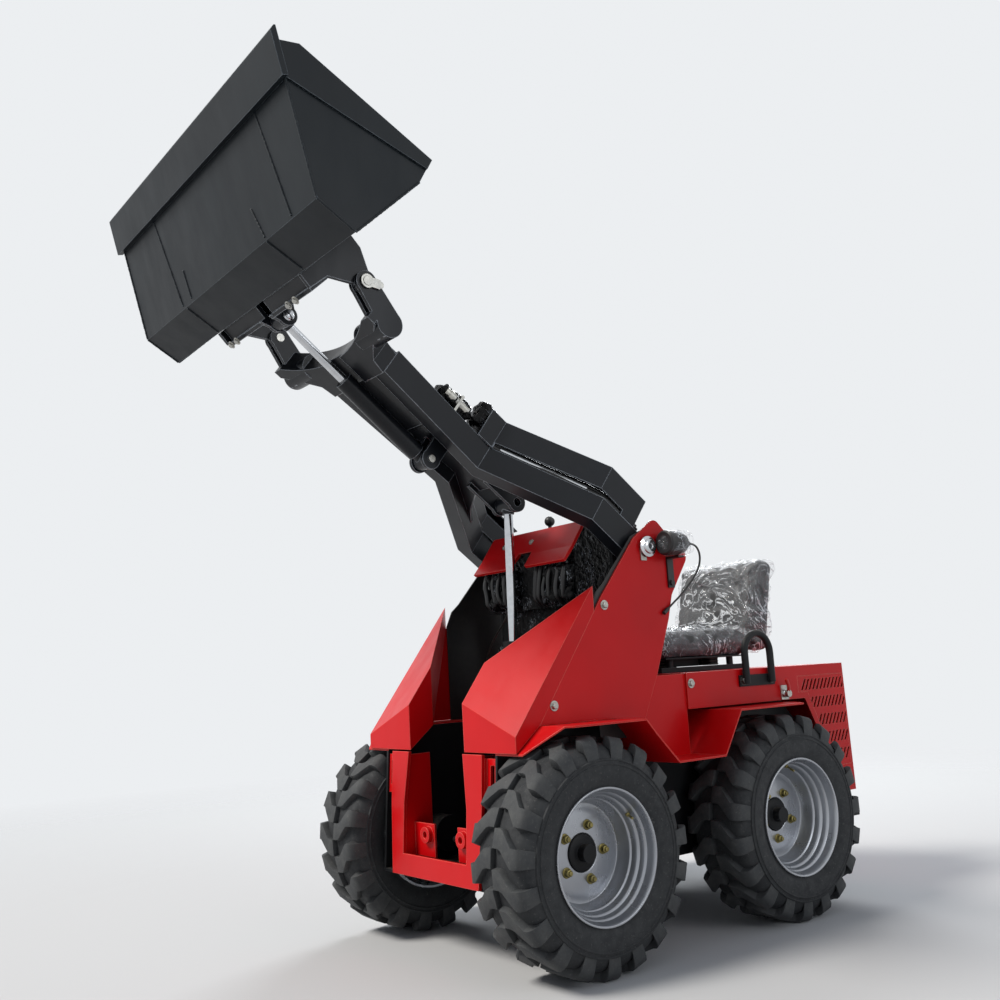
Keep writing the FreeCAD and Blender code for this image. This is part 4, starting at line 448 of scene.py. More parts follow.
def add_lamp(name, place, target, wide, tall, power, colour):
    lamp = bpy.data.objects.new(name, bpy.data.lights.new(name, "AREA"))
    bpy.context.scene.collection.objects.link(lamp)
    lamp.data.shape = "RECTANGLE"
    lamp.data.size = wide
    lamp.data.size_y = tall
    lamp.data.energy = power
    lamp.data.color = colour
    lamp.matrix_world = Matrix.Translation(Vector(place)) @ (
        Vector(target) - Vector(place)).to_track_quat("-Z", "Y").to_matrix().to_4x4()
    return lamp


middle = (0, 0, 0.9)
sun = bpy.data.objects.new("key_sun", bpy.data.lights.new("key_sun", "SUN"))
bpy.context.scene.collection.objects.link(sun)
sun.data.energy = 2.3
sun.data.angle = math.radians(16)
sun.data.color = (1.0, 0.97, 0.92)
sun.matrix_world = Vector((-4.6, 1.6, -5.6)).to_track_quat("-Z", "Y").to_matrix().to_4x4()
add_lamp("key_lamp", (4.6, -1.6, 5.6), middle, 2.2, 2.2, 130, (1.0, 0.96, 0.90))
add_lamp("side_lamp", (-1.2, 6.5, 3.4), middle, 3.5, 2.5, 62, (0.93, 0.96, 1.0))
add_lamp("rear_lamp", (-4.6, -3.8, 4.2), middle, 3.0, 1.6, 260, (0.92, 0.96, 1.0))
bpy.context.scene.view_settings.view_transform = "Standard"
print("three lamps and a pale world")

# %% [markdown]
# ## Paint on sheet metal
#
# Gloss paint is a coloured base under a clear coat. What makes it read as real is small: a
# slow change of shade over a panel, a very fine unevenness of the surface, a film of dust on
# what faces up, and a painted highlight, a thin light line along each cut edge that is broken
# up in patches. The rounded-edge normal gives every cut edge the thin highlight that a real,
# slightly blunt edge catches.

# %% Paint
dust_colour = srgb(150, 140, 126)


def edge_line(tree, width):
    """How much the surface bends within a width: nearly nothing on a panel, more on an edge."""
    rounded = node(tree, "Bevel", {"Radius": width})
    rounded.samples = 6
    flat = node(tree, "NewGeometry")
    turn = node(tree, "VectorMath", operation="DOT_PRODUCT")
    wire(tree, rounded.outputs["Normal"], turn.inputs[0])
    wire(tree, flat.outputs["Normal"], turn.inputs[1])
    return rounded.outputs["Normal"], ramp(tree, turn.outputs["Value"], 0.993, 0.90)


def facing_up(tree, low=0.35, high=0.95):
    """How much the surface faces the sky."""
    split = node(tree, "SeparateXYZ")
    wire(tree, node(tree, "NewGeometry").outputs["Normal"], split.inputs["Vector"])
    return ramp(tree, split.outputs["Z"], low, high)


def paint(name, colour, deep, edge_highlight, roughness, coat=0.0, dust=0.25, edge_width=0.0022, edge_highlight_amount=0.5, peel=0.06):
    """Painted sheet metal: two shades of paint, dust on top, a painted highlight along its edges."""
    material, tree, shader = new_material(name, metallic=0.0, ior=1.5)
    rounded, line = edge_line(tree, edge_width)
    shade = blend(tree, ramp(tree, pattern(tree, 2.3, 3), 0.35, 0.68), colour, deep)
    grain = ramp(tree, pattern(tree, 46, 6, 0.7), 0.42, 0.72)
    dusty = times(tree, times(tree, facing_up(tree), grain), dust)
    shade = blend(tree, dusty, shade, dust_colour)
    highlight_breakup = ramp(tree, pattern(tree, 30, 8, 0.75), 0.30, 0.62, 0.35, 1.0)
    patchy_lightening = times(tree, times(tree, line, highlight_breakup), edge_highlight_amount)
    # Painted highlight: a light edge colour laid along the edges, broken up in patches.
    shade = blend(tree, patchy_lightening, shade, edge_highlight)
    wire(tree, shade, shader.inputs["Base Color"])
    streaks = ramp(tree, pattern(tree, 14, 5, 0.6, stretch=(1, 1, 0.35)), 0.3, 0.7, roughness - 0.04, roughness + 0.09)
    wire(tree, streaks, shader.inputs["Roughness"])
    shader.inputs["Specular IOR Level"].default_value = 0.22
    shader.inputs["Coat Weight"].default_value = coat
    shader.inputs["Coat Roughness"].default_value = 0.10
    wire(tree, bump(tree, pattern(tree, 210, 2), peel, 0.0006, rounded), shader.inputs["Normal"])
    return material


# The third colour of each paint is the light colour of its painted edge highlight.
red_paint = paint("red_paint", srgb(208, 6, 13), srgb(190, 4, 10), srgb(255, 120, 105), 0.34, coat=0.08, dust=0.05,
                  edge_width=0.0032, edge_highlight_amount=0.75)
boom_paint = paint("boom_paint", srgb(24, 27, 32), srgb(16, 18, 22), srgb(205, 212, 220), 0.34, coat=0.10, dust=0.12,
                   edge_width=0.0034, edge_highlight_amount=0.85)
bucket_paint = paint("bucket_paint", srgb(16, 23, 28), srgb(11, 16, 21), srgb(150, 160, 168), 0.42, coat=0.04, dust=0.15,
                     edge_width=0.0030, edge_highlight_amount=0.60, peel=0.10)
frame_paint = paint("frame_paint", srgb(26, 27, 29), srgb(18, 19, 21), srgb(90, 94, 98), 0.45, dust=0.35, edge_highlight_amount=0.4)
rim_paint = paint("rim_paint", srgb(176, 179, 184), srgb(154, 157, 163), srgb(236, 238, 242), 0.27, coat=0.3, dust=0.30,
                  edge_highlight_amount=0.6)
rim_paint.node_tree.nodes["Principled BSDF"].inputs["Metallic"].default_value = 0.75

# %% [markdown]
# ## Bare metal, rubber and plastic
#
# Ground chrome is nearly a mirror with the finest scratches along the rod. Zinc plating is
# duller, and its yellow kind on the wheel nuts shifts towards olive. Rubber is never black:
# it is a lighter grey on the lugs that touch the ground and darker in the grooves.

# %% Metals
def metal(name, colour, other, roughness, scratches=80, stretch=(1, 1, 1), depth=0.08):
    """Bare or plated metal with two tones and fine scratches."""
    material, tree, shader = new_material(name, metallic=1.0)
    wire(tree, blend(tree, ramp(tree, pattern(tree, 38, 5, 0.7), 0.35, 0.7), colour, other), shader.inputs["Base Color"])
    marks = pattern(tree, scratches, 3, 0.6, stretch=stretch)
    wire(tree, ramp(tree, marks, 0.3, 0.7, roughness * 0.8, roughness * 1.4), shader.inputs["Roughness"])
    rounded, line = edge_line(tree, 0.0012)
    wire(tree, bump(tree, marks, depth, 0.0004, rounded), shader.inputs["Normal"])
    return material


rod_chrome = metal("rod_chrome", srgb(204, 206, 209), srgb(188, 191, 195), 0.13, 160, (1, 1, 0.02))
zinc = metal("zinc_plating", srgb(186, 184, 176), srgb(150, 150, 148), 0.28, 120)
yellow_zinc = metal("yellow_zinc", srgb(150, 138, 86), srgb(108, 101, 70), 0.36, 120)
dark_steel = metal("dark_steel", srgb(88, 86, 84), srgb(62, 61, 60), 0.45, 90, depth=0.2)

# %% Rubber and plastic
def soft_material(name, colour, other, roughness, grain=300, depth=0.2, sheen=0.0, scale=9, dust=0.0):
    """Rubber, vinyl or moulded plastic: two tones, a fine grain, dust where it faces up."""
    material, tree, shader = new_material(name, metallic=0.0, sheen_weight=sheen)
    shade = blend(tree, ramp(tree, pattern(tree, scale, 5, 0.65), 0.35, 0.7), colour, other)
    if dust:
        grey = times(tree, ramp(tree, pattern(tree, 55, 6, 0.7), 0.35, 0.65), dust)
        shade = blend(tree, times(tree, grey, facing_up(tree, -0.3, 0.9)), shade, dust_colour)
    wire(tree, shade, shader.inputs["Base Color"])
    fine = pattern(tree, grain, 3, 0.6)
    wire(tree, ramp(tree, fine, 0.3, 0.7, roughness - 0.05, roughness + 0.08), shader.inputs["Roughness"])
    wire(tree, bump(tree, fine, depth, 0.0005), shader.inputs["Normal"])
    return material


black_plastic = soft_material("black_plastic", srgb(24, 24, 26), srgb(17, 17, 18), 0.42, dust=0.10)
seat_vinyl = soft_material("seat_vinyl", srgb(30, 30, 33), srgb(21, 21, 23), 0.48, 420, 0.35, dust=0.05)
hose_rubber = soft_material("hose_rubber", srgb(22, 22, 24), srgb(15, 15, 16), 0.38, 500, 0.15)
red_plastic = soft_material("red_plastic", srgb(205, 38, 32), srgb(180, 28, 24), 0.35)
engine_paint = paint("engine_paint", srgb(58, 60, 62), srgb(40, 41, 43), srgb(110, 112, 114), 0.5, dust=0.4)


def tyre_rubber():
    """Tyre rubber: dark in the grooves, lighter grey towards the tops of the lugs."""
    material, tree, shader = new_material("tyre_rubber", metallic=0.0)
    height = node(tree, "Attribute", attribute_name="lug_height")
    patchy_lightening = ramp(tree, pattern(tree, 42, 8, 0.72), 0.34, 0.62, 0.35, 1.0)
    groove = blend(tree, ramp(tree, pattern(tree, 11, 5), 0.35, 0.7), srgb(30, 32, 35), srgb(42, 44, 46))
    top = blend(tree, ramp(tree, pattern(tree, 24, 7, 0.7), 0.38, 0.66), srgb(62, 64, 66), srgb(84, 85, 84))
    # Lighter grey towards the lug tops and darker in the grooves, in patches.
    shade = blend(tree, times(tree, height.outputs["Fac"], patchy_lightening), groove, top)
    specks = ramp(tree, pattern(tree, 150, 4, 0.7), 0.60, 0.72, 0.0, 0.30)
    shade = blend(tree, specks, shade, srgb(122, 121, 117))
    wire(tree, shade, shader.inputs["Base Color"])
    wire(tree, ramp(tree, patchy_lightening, 0.3, 1.0, 0.62, 0.86), shader.inputs["Roughness"])
    grain = pattern(tree, 170, 5, 0.7)
    wire(tree, bump(tree, grain, 0.35, 0.0010), shader.inputs["Normal"])
    return material


tyre_material = tyre_rubber()
print("materials:", len(bpy.data.materials))

# %% [markdown]
# ## Give the frame's pieces their finish
#
# Every piece of the frame already says which finish it has. Its material goes into its
# slot, and the piece itself stays exactly as it is.

# %% Finish of the frame's pieces
finishes = {
    "red_paint": red_paint, "boom_paint": boom_paint, "bucket_paint": bucket_paint, "frame_paint": frame_paint,
    "rim_paint": rim_paint, "tyre": tyre_material, "rod_chrome": rod_chrome, "zinc": zinc,
    "black_plastic": black_plastic, "seat_cover": seat_vinyl, "engine": engine_paint,
}
for part in frame["record"]["subparts"]:
    piece = frame["nodes"][part["node"]]
    piece.data.materials.clear()
    piece.data.materials.append(finishes[part["material_slot"]])

# %% [markdown]
# ## Tyres
#
# An industrial tyre is a round casing with two rows of heavy lugs that reach from the middle
# of the tread over the shoulder. The casing is a section spun about the axle. One lug is
# modelled flat, as a block whose end is pulled outwards and then down over the shoulder, and
# is then wrapped round the wheel. Nineteen copies make a row, and the other row is its mirror
# image, half a step further round.

# %% Tyre casing
tyre_radius = 0.292
tyre_half = 0.108
lug_height = 0.021
tread = 0.2750
casing_half = [
    (0.1625, 0.0885), (0.1650, 0.0925), (0.1715, 0.0930), (0.1765, 0.0955), (0.182, 0.0980), (0.190, 0.1010),
    (0.205, 0.1035), (0.220, 0.1040), (0.2215, 0.1060), (0.2240, 0.1060), (0.2255, 0.1036), (0.2310, 0.1026),
    (0.2325, 0.1046), (0.2352, 0.1042), (0.2366, 0.1000), (0.245, 0.0965), (0.255, 0.0915), (0.2640, 0.0835),
    (0.2705, 0.0730), (tread, 0.050), (tread + 0.001, 0.025), (tread + 0.001, 0.0),
]
casing_profile = casing_half + [(radius, -along) for radius, along in casing_half[-2::-1]]
casing_profile += [(0.1625, -0.070), (0.1625, 0.070), casing_half[0]]
casing = turned("tyre", casing_profile, 96)
casing.data.attributes.new("lug_height", "FLOAT", "POINT")
print("tyre casing", len(casing.data.polygons), "faces")

# %% [markdown]
# The rubber's material needs to know how high a point stands above the casing, so that the
# tops of the lugs are lighter grey and the grooves stay dark. That number is stored on the
# points of each lug as an attribute of its own, and it stays nought on the casing.

# %% One lug
lug_count = 19
lug_thick = 0.047
lug_low = tread - 0.008


def wrap_round(piece):
    """Wrap a flat lug round the wheel: X becomes the angle and Z the radius."""
    for point in piece.data.vertices:
        angle = point.co.x / tyre_radius
        point.co = Vector((math.sin(angle) * point.co.z, point.co.y, math.cos(angle) * point.co.z))


def pull(move):
    """Extrude what is selected by a step."""
    bpy.ops.mesh.extrude_region_move(TRANSFORM_OT_translate={"value": move})


lug = add_block("lug", (-0.042, 0.002, lug_low), (-0.042 + lug_thick, 0.022, tyre_radius))
open_mesh(lug)
for step in ((0.004, 0.012, 0), (0.022, 0.022, 0), (0.016, 0.016, 0), (0.001, 0.012, -0.0015)):
    pick(lug, lambda middle, normal: normal.y > 0.3 and middle.y > 0.02)
    mesh = bmesh.from_edit_mesh(lug.data)
    furthest = max(face.calc_center_median().y for face in mesh.faces if face.select)
    pick(lug, lambda middle, normal: normal.y > 0.3 and middle.y > furthest - 1e-4)
    pull(step)
for step in ((0, 0.0095, -0.0070), (0, 0.0060, -0.0130), (0, 0.0016, -0.0220)):
    mesh = bmesh.from_edit_mesh(lug.data)
    furthest = max(face.calc_center_median().y for face in mesh.faces)
    pick(lug, lambda middle, normal: middle.y > furthest - 1e-4)
    pull(step)
pick_points(lug, lambda place: place.z < lug_low + 0.0005 and place.y < 0.09)
bpy.ops.transform.resize(value=(1.16, 1.0, 1.0))
close_mesh()
soften(lug, 0.0028, 2, 30)
wrap_round(lug)
height = lug.data.attributes.new("lug_height", "FLOAT", "POINT")
for point, value in zip(lug.data.vertices, height.data):
    over_tread = (math.hypot(point.co.x, point.co.z) - tread) / lug_height
    value.value = max(0.0, min(1.0, over_tread, 1.0)) if point.co.y < 0.098 else 0.75
print("one lug has", len(lug.data.polygons), "faces")

# %% Two rows of lugs
lugs = []
for number in range(lug_count):
    lugs.append(copy_of(lug, "lug_left", turn=2 * math.pi * number / lug_count))
    other = mirrored(lugs[-1], "lug_right")
    other.data.transform(Matrix.Rotation(math.pi / lug_count, 4, "Y"))
    lugs.append(other)
bpy.data.objects.remove(lug)
tyre = join("tyre", [casing] + lugs)
print("tyre with lugs", len(tyre.data.polygons), "faces")

# %% [markdown]
# ## Rims
#
# The rim is one deep dish: a rolled lip, three steps down into the wheel, and a flat disc
# bolted to the hub. The steps carry the bright rings that show first in the picture, so they
# are real steps in the section that is spun. A brass valve stands in the second step.

# %% Rim
rim_profile = [
    (0.1675, 0.0975), (0.1660, 0.0995), (0.1625, 0.0990), (0.1600, 0.0960), (0.1585, 0.0880), (0.1560, 0.0800),
    (0.1545, 0.0745), (0.1510, 0.0720), (0.1490, 0.0690), (0.1478, 0.0600), (0.1465, 0.0560), (0.1425, 0.0535),
    (0.1402, 0.0500), (0.1390, 0.0400), (0.1375, 0.0350), (0.1340, 0.0325), (0.1315, 0.0270), (0.1300, 0.0080),
    (0.1225, -0.0050), (0.1130, -0.0062), (0.1080, -0.0044), (0.0960, -0.0022), (0.0500, -0.0017), (0.0480, -0.0030),
    (0.0470, -0.0140), (0.0900, -0.0160), (0.1240, -0.0160), (0.1340, -0.0120), (0.1355, -0.0240), (0.1400, -0.0330),
    (0.1530, -0.0620), (0.1540, -0.0900), (0.1600, -0.0985), (0.1660, -0.0990), (0.1675, -0.0970),
    (0.1670, -0.0920), (0.1600, -0.0900), (0.1580, -0.0600), (0.1440, -0.0280), (0.1440, 0.0280), (0.1580, 0.0600),
    (0.1600, 0.0900), (0.1665, 0.0930), (0.1675, 0.0975),
]
rim = turned("rim", rim_profile, 96)
print("rim", len(rim.data.polygons), "faces")

# %% [markdown]
# ## Hub and wheel nuts
#
# A cast hub fills the disc's middle, with the end of the drive shaft in its centre. Five
# yellow zinc nuts on washers hold the wheel. One nut is a six-sided cylinder with its top
# edge rounded off, and the stud stands a few millimetres out of it.

# %% Hub
hub = turned("hub", [(0, 0.0195), (0.0100, 0.0195), (0.0120, 0.0175), (0.0125, 0.0075), (0.0200, 0.0065),
                     (0.0225, 0.0035), (0.0420, 0.0030), (0.0455, 0.0010), (0.0465, -0.0030), (0.0465, -0.0170),
                     (0.0850, -0.0180), (0.0850, -0.0240), (0.0, -0.0240)], 64)

# %% One wheel nut
stud_circle = 0.06985
disc_face = -0.0019


def wheel_nut():
    """A nut with a cone below it and the stud's end above it, standing along Y."""
    nut = add("cylinder", "nut", vertices=6, radius=0.0104, depth=0.0125, location=(0, 0, 0),
              rotation=(math.radians(-90), 0, 0))
    settle(nut)
    open_mesh(nut)
    pick(nut, lambda middle, normal: normal.y > 0.9)
    bpy.ops.mesh.inset(thickness=0.0022)
    bpy.ops.transform.translate(value=(0, 0.0016, 0))
    bpy.ops.mesh.inset(thickness=0.0028)
    bpy.ops.transform.translate(value=(0, -0.0010, 0))
    close_mesh()
    soften(nut, 0.0005, 1, 25)
    washer = turned("washer", [(0.0135, -0.0068), (0.0135, -0.0050), (0.0122, -0.0040), (0, -0.0040), (0, -0.0068),
                               (0.0135, -0.0068)], 24)
    stud = turned("stud", [(0, 0.0125), (0.0052, 0.0125), (0.0060, 0.0115), (0.0060, -0.0060), (0, -0.0060)], 20)
    return join("nut", [nut, washer, stud])


nut = wheel_nut()
nuts = []
for number in range(5):
    turn = 2 * math.pi * number / 5 + math.radians(20)
    place = (stud_circle * math.cos(turn), disc_face + 0.0065, stud_circle * math.sin(turn))
    nuts.append(copy_of(nut, "wheel_nut", move=place))
bpy.data.objects.remove(nut)
nuts = join("wheel_nuts", nuts)
valve = turned("valve", [(0, 0.036), (0.0032, 0.036), (0.0036, 0.034), (0.0036, 0.022), (0.0026, 0.021),
                         (0.0026, 0.010), (0.0052, 0.009), (0.0060, 0.002), (0.0060, -0.004), (0, -0.004)], 20)
valve_turn = math.radians(128)
aim(valve, (0.1435 * math.cos(valve_turn), 0.050, 0.1435 * math.sin(valve_turn)), (0.30, 0.93, -0.28))
brass = join("wheel_brass", [nuts, valve])
print("nuts and valve", len(brass.data.polygons), "faces")

# %% [markdown]
# ## Four wheels
#
# The same tyre, rim, hub and nuts are copied to each axle end. On the right side they are
# turned half round, so that the dish looks outwards there too, and each wheel is turned by
# its own angle, because no two wheels come to rest alike.

# %% Put the wheels on
wheels = {"front_left": (front_x, 1, -16), "front_right": (front_x, -1, 61),
          "rear_left": (rear_x, 1, 38), "rear_right": (rear_x, -1, 15)}
for name, (along, side, rest_turn) in wheels.items():
    for form, kind, slot, material in ((tyre, "tyre", "tyre", tyre_material), (rim, "rim", "rim_paint", rim_paint),
                                       (hub, "hub", "frame_paint", frame_paint), (brass, "nuts", "zinc", yellow_zinc)):
        piece = copy_of(form, kind + "_of_" + name, turn=math.radians(rest_turn))
        if side < 0:
            piece.data.transform(Matrix.Rotation(math.pi, 4, "Z"))
        piece.data.transform(Matrix.Translation((along, side * wheel_y, axle_z)))
        dress(piece, "wheel_" + name, slot, material, 30)
        if kind in ("tyre", "rim"):
            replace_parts(piece, kind + "_" + name)
for form in (tyre, rim, hub, brass):
    bpy.data.objects.remove(form)

# %% [markdown]
# ## The seat
#
# The seat is a cushion and a back of black vinyl over foam. Foam swells between its seams, so
# each pad starts as a block with rounded edges, is turned into an even mesh of small faces,
# and is then blown up a little by the cloth simulation with pressure and no gravity. A limit
# on how far a point may travel keeps the pad inside its place.

# %% Pads
seat_middle_x = -0.600
pad_voxel = 0.009


def swell(piece, pressure, cap):
    """Inflate a pad with the cloth simulation, and hold each point within cap of its start."""
    start = [point.co.copy() for point in piece.data.vertices]
    choose(piece)
    cloth = piece.modifiers.new("swell", "CLOTH")
    cloth.settings.use_pressure = True
    cloth.settings.uniform_pressure_force = pressure
    cloth.settings.effector_weights.gravity = 0
    cloth.settings.tension_stiffness = 40
    cloth.settings.quality = 5
    cloth.point_cache.frame_end = 14
    scene = bpy.context.scene
    for number in range(1, 13):
        scene.frame_set(number)
    bpy.ops.object.modifier_apply(modifier=cloth.name)
    scene.frame_set(1)
    for point, was in zip(piece.data.vertices, start):
        travel = point.co - was
        if travel.length > cap:
            point.co = was + travel.normalized() * cap


def pad_form(name, low, high, rounding):
    """A rounded block as an even mesh of small faces."""
    piece = add_block(name, low, high)
    soften(piece, rounding, 4, 30)
    apply_modifier(piece, "REMESH", mode="VOXEL", voxel_size=pad_voxel)
    return piece


def seam_line(piece, test, depth):
    """Press a sewn seam into a pad: points that pass the test move in along their normals."""
    normals = [point.normal.copy() for point in piece.data.vertices]
    for point, normal in zip(piece.data.vertices, normals):
        share = test(point.co)
        if share > 0:
            point.co -= normal * depth * share


def near(value, target, width):
    """1 on the target, falling to 0 at a width away."""
    return max(0.0, 1 - abs(value - target) / width)


cushion_low, cushion_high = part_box("seat_cushion")
back_low, back_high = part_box("seat_back")
cushion = pad_form("cushion", (cushion_low.x + 0.004, -0.190, 0.776), (cushion_high.x - 0.012, 0.190, 0.845), 0.026)
back = pad_form("backrest", (-0.070, -0.198, 0.0), (0.012, 0.198, 0.328), 0.030)
swell(cushion, 6.0, 0.012)
swell(back, 6.0, 0.012)
seam_line(cushion, lambda place: near(abs(place.y), 0.118, 0.010) if place.z > 0.82 else 0, 0.007)
seam_line(cushion, lambda place: near(place.x, cushion_high.x - 0.085, 0.010) if place.z > 0.82 else 0, 0.006)
seam_line(cushion, lambda place: near(place.z, 0.800, 0.007), 0.005)
seam_line(back, lambda place: near(abs(place.y), 0.115, 0.010) if place.x > 0 else 0, 0.007)
for line in (0.085, 0.155, 0.225):
    seam_line(back, lambda place: near(place.z, line, 0.009) if place.x > 0 and abs(place.y) < 0.115 else 0, 0.006)
back_lean = math.radians(-12.5)
back.data.transform(Matrix.Translation((cushion_low.x - 0.008, 0, 0.782)) @ Matrix.Rotation(back_lean, 4, "Y"))
for piece, fill in ((cushion, 0.75), (back, 0.7)):
    apply_modifier(piece, "SMOOTH", factor=0.5, iterations=2)
    apply_modifier(piece, "SUBSURF", levels=1, render_levels=1)
    dress(piece, "hood", "seat_cover", seat_vinyl, 80)
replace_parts(cushion, "seat_cushion")
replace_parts(back, "seat_back")

# %% [markdown]
# ## Clear film round the seat
#
# The seat is new and still wrapped in clear film, pulled diagonally into sharp creases that
# flash white. The film is one thin skin over the pads: a copy of both, made into one even
# mesh, grown outwards, and crumpled by two procedural displacements, a coarse one for the
# folds and a ridged one for the creases. Its material is see-through apart from the creases,
# which are painted opaque white as their highlight.

# %% Film material
def film_material(name, streak_scale, clear_share, crease_highlight_share):
    material, tree, shader = new_material(name, roughness=0.07, ior=1.5)
    shader.inputs["Base Color"].default_value = srgb(236, 240, 244)
    shader.inputs["Specular IOR Level"].default_value = 0.9
    place = node(tree, "TexCoord")
    turned_place = node(tree, "Mapping", {"Rotation": (0.5, 0.35, 0.6), "Scale": (1.0, 0.28, 0.55)})
    wire(tree, place.outputs["Object"], turned_place.inputs["Vector"])
    warp = node(tree, "TexNoise", {"Scale": streak_scale, "Detail": 5, "Roughness": 0.62, "Distortion": 1.6})
    wire(tree, turned_place.outputs["Vector"], warp.inputs["Vector"])
    ridge = node(tree, "Math", operation="PINGPONG")
    ridge.inputs[1].default_value = 0.06
    wire(tree, warp.outputs["Fac"], ridge.inputs[0])
    # Painted highlight: the film's white base colour shows, opaque, along its creases.
    crease_highlight = ramp(tree, ridge.outputs[0], 0.046, 0.060)
    patch = ramp(tree, pattern(tree, streak_scale * 0.5, 3), 0.38, 0.56, 0.12, 1.0)
    wire(tree, ramp(tree, times(tree, crease_highlight, patch), 0.0, 1.0, clear_share, crease_highlight_share), shader.inputs["Alpha"])
    wire(tree, bump(tree, ridge.outputs[0], 1.0, 0.02), shader.inputs["Normal"])
    return material


clear_film = film_material("clear_film", 13, 0.05, 0.95)


def crumple(piece, name, size, strength, kind="CLOUDS"):
    """Displace a skin by a procedural texture."""
    texture = bpy.data.textures.new(name, kind)
    texture.noise_scale = size
    apply_modifier(piece, "DISPLACE", texture=texture, strength=strength, mid_level=0.5, texture_coords="LOCAL")


# %% Seat film
def film_over(name, pieces, voxel, grow, folds, creases):
    """One crumpled skin round several pieces."""
    film = join(name, [copy_of(piece, name + "_part") for piece in pieces])
    film.parent = None
    apply_modifier(film, "REMESH", mode="VOXEL", voxel_size=voxel)
    apply_modifier(film, "SMOOTH", factor=0.5, iterations=4)
    apply_modifier(film, "DISPLACE", strength=grow, mid_level=0.0)
    crumple(film, name + "_folds", *folds)
    apply_modifier(film, "SUBSURF", levels=1, render_levels=1)
    crumple(film, name + "_creases", *creases, kind="STUCCI")
    return film


def hollow(piece):
    """Make a thin skin of a closed lump."""
    apply_modifier(piece, "SOLIDIFY", thickness=0.0008, offset=-1)


film = film_over("seat_film", [cushion, back], 0.010, 0.009, (0.075, 0.034), (0.026, 0.013))
for point in film.data.vertices:
    point.co.z = max(point.co.z, 0.7725)
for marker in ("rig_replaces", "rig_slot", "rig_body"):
    if marker in film:
        del film[marker]
hollow(film)
dress(film, "hood", "seat_cover", clear_film, 60)

# %% [markdown]
# ## Black panels inside the towers
#
# Behind the red pods the towers are lined with black plates, so the well between them reads
# as one dark hole. A red panel closes the foot well's side behind each tower. Each lining is one sheet cut to the tower's front edge. It is drawn by
# extruding a single point round its outline, filling it, and giving it the sheet's thickness.

# %% Helper for cut plates
def cut_plate(name, outline, side, thickness):
    """A flat plate on a plane square to Y: outline points (x, z), its outer face at side."""
    piece = add("plane", name, size=0.001)
    open_mesh(piece, "VERT")
    bpy.ops.mesh.select_all(action="SELECT")
    bpy.ops.mesh.merge(type="CENTER")
    bpy.ops.transform.translate(value=(outline[0][0], side, outline[0][1]))
    for before, after in zip(outline, outline[1:]):
        move = (after[0] - before[0], 0, after[1] - before[1])
        bpy.ops.mesh.extrude_vertices_move(TRANSFORM_OT_translate={"value": move})
    bpy.ops.mesh.select_all(action="SELECT")
    bpy.ops.mesh.edge_face_add()
    bpy.ops.mesh.extrude_region_move(TRANSFORM_OT_translate={"value": (0, thickness, 0)})
    bpy.ops.mesh.select_all(action="SELECT")
    bpy.ops.mesh.normals_make_consistent(inside=False)
    close_mesh()
    return piece


# %% Linings
lining_outline = [
    (0.044, 0.560), (0.044, 0.912), (0.022, 0.960), (-0.008, 0.986), (-0.127, 1.120), (-0.212, 1.160),
    (-0.250, 1.120), (-0.318, 1.062), (-0.250, 0.952), (-0.229, 0.882), (-0.165, 0.725), (-0.092, 0.560),
]
lining_left = cut_plate("tower_lining_left", lining_outline, 0.3555, -0.0055)
soften(lining_left, 0.001, 1)
lining_right = mirrored(lining_left, "tower_lining_right")
for lining in (lining_left, lining_right):
    dress(lining, "chassis", "black_plastic", black_plastic)
panel_outline = [(-0.078, 0.494), (-0.178, 0.722), (-0.3008, 0.722), (-0.3008, 0.494)]
panel_left = cut_plate("side_panel_left", panel_outline, 0.3550, -0.004)
panel_right = mirrored(panel_left, "side_panel_right")
for panel in (panel_left, panel_right):
    dress(panel, "chassis", "red_paint", red_paint)
frame["nodes"]["pivot_inner_plates"].data.materials[0] = frame_paint

# %% [markdown]
# ## Hoses
#
# Rubber hoses run from the valves behind the visor into the console, and out of it down to
# the pump, each with its own sway. They leave the band free that the lowered boom needs. More hoses and one plated pipe lie clamped on top of the boom's arms, under
# the guards, and show through the guards' slits. A hose is a smooth curve with a round
# section, turned into a mesh.

# %% Helper for hoses
def hose(name, points, radius):
    """A round tube along a smooth curve through its control points."""
    line = bpy.data.curves.new(name, "CURVE")
    line.dimensions = "3D"
    line.bevel_depth = radius
    line.bevel_resolution = 3
    line.use_fill_caps = True
    line.resolution_u = 8
    spline = line.splines.new("NURBS")
    spline.points.add(len(points) - 1)
    for point, place in zip(spline.points, points):
        point.co = (*place, 1)
    spline.order_u = 3
    spline.use_endpoint_u = True
    piece = bpy.data.objects.new(name, line)
    bpy.context.scene.collection.objects.link(piece)
    choose(piece)
    bpy.ops.object.convert(target="MESH")
    return bpy.context.object


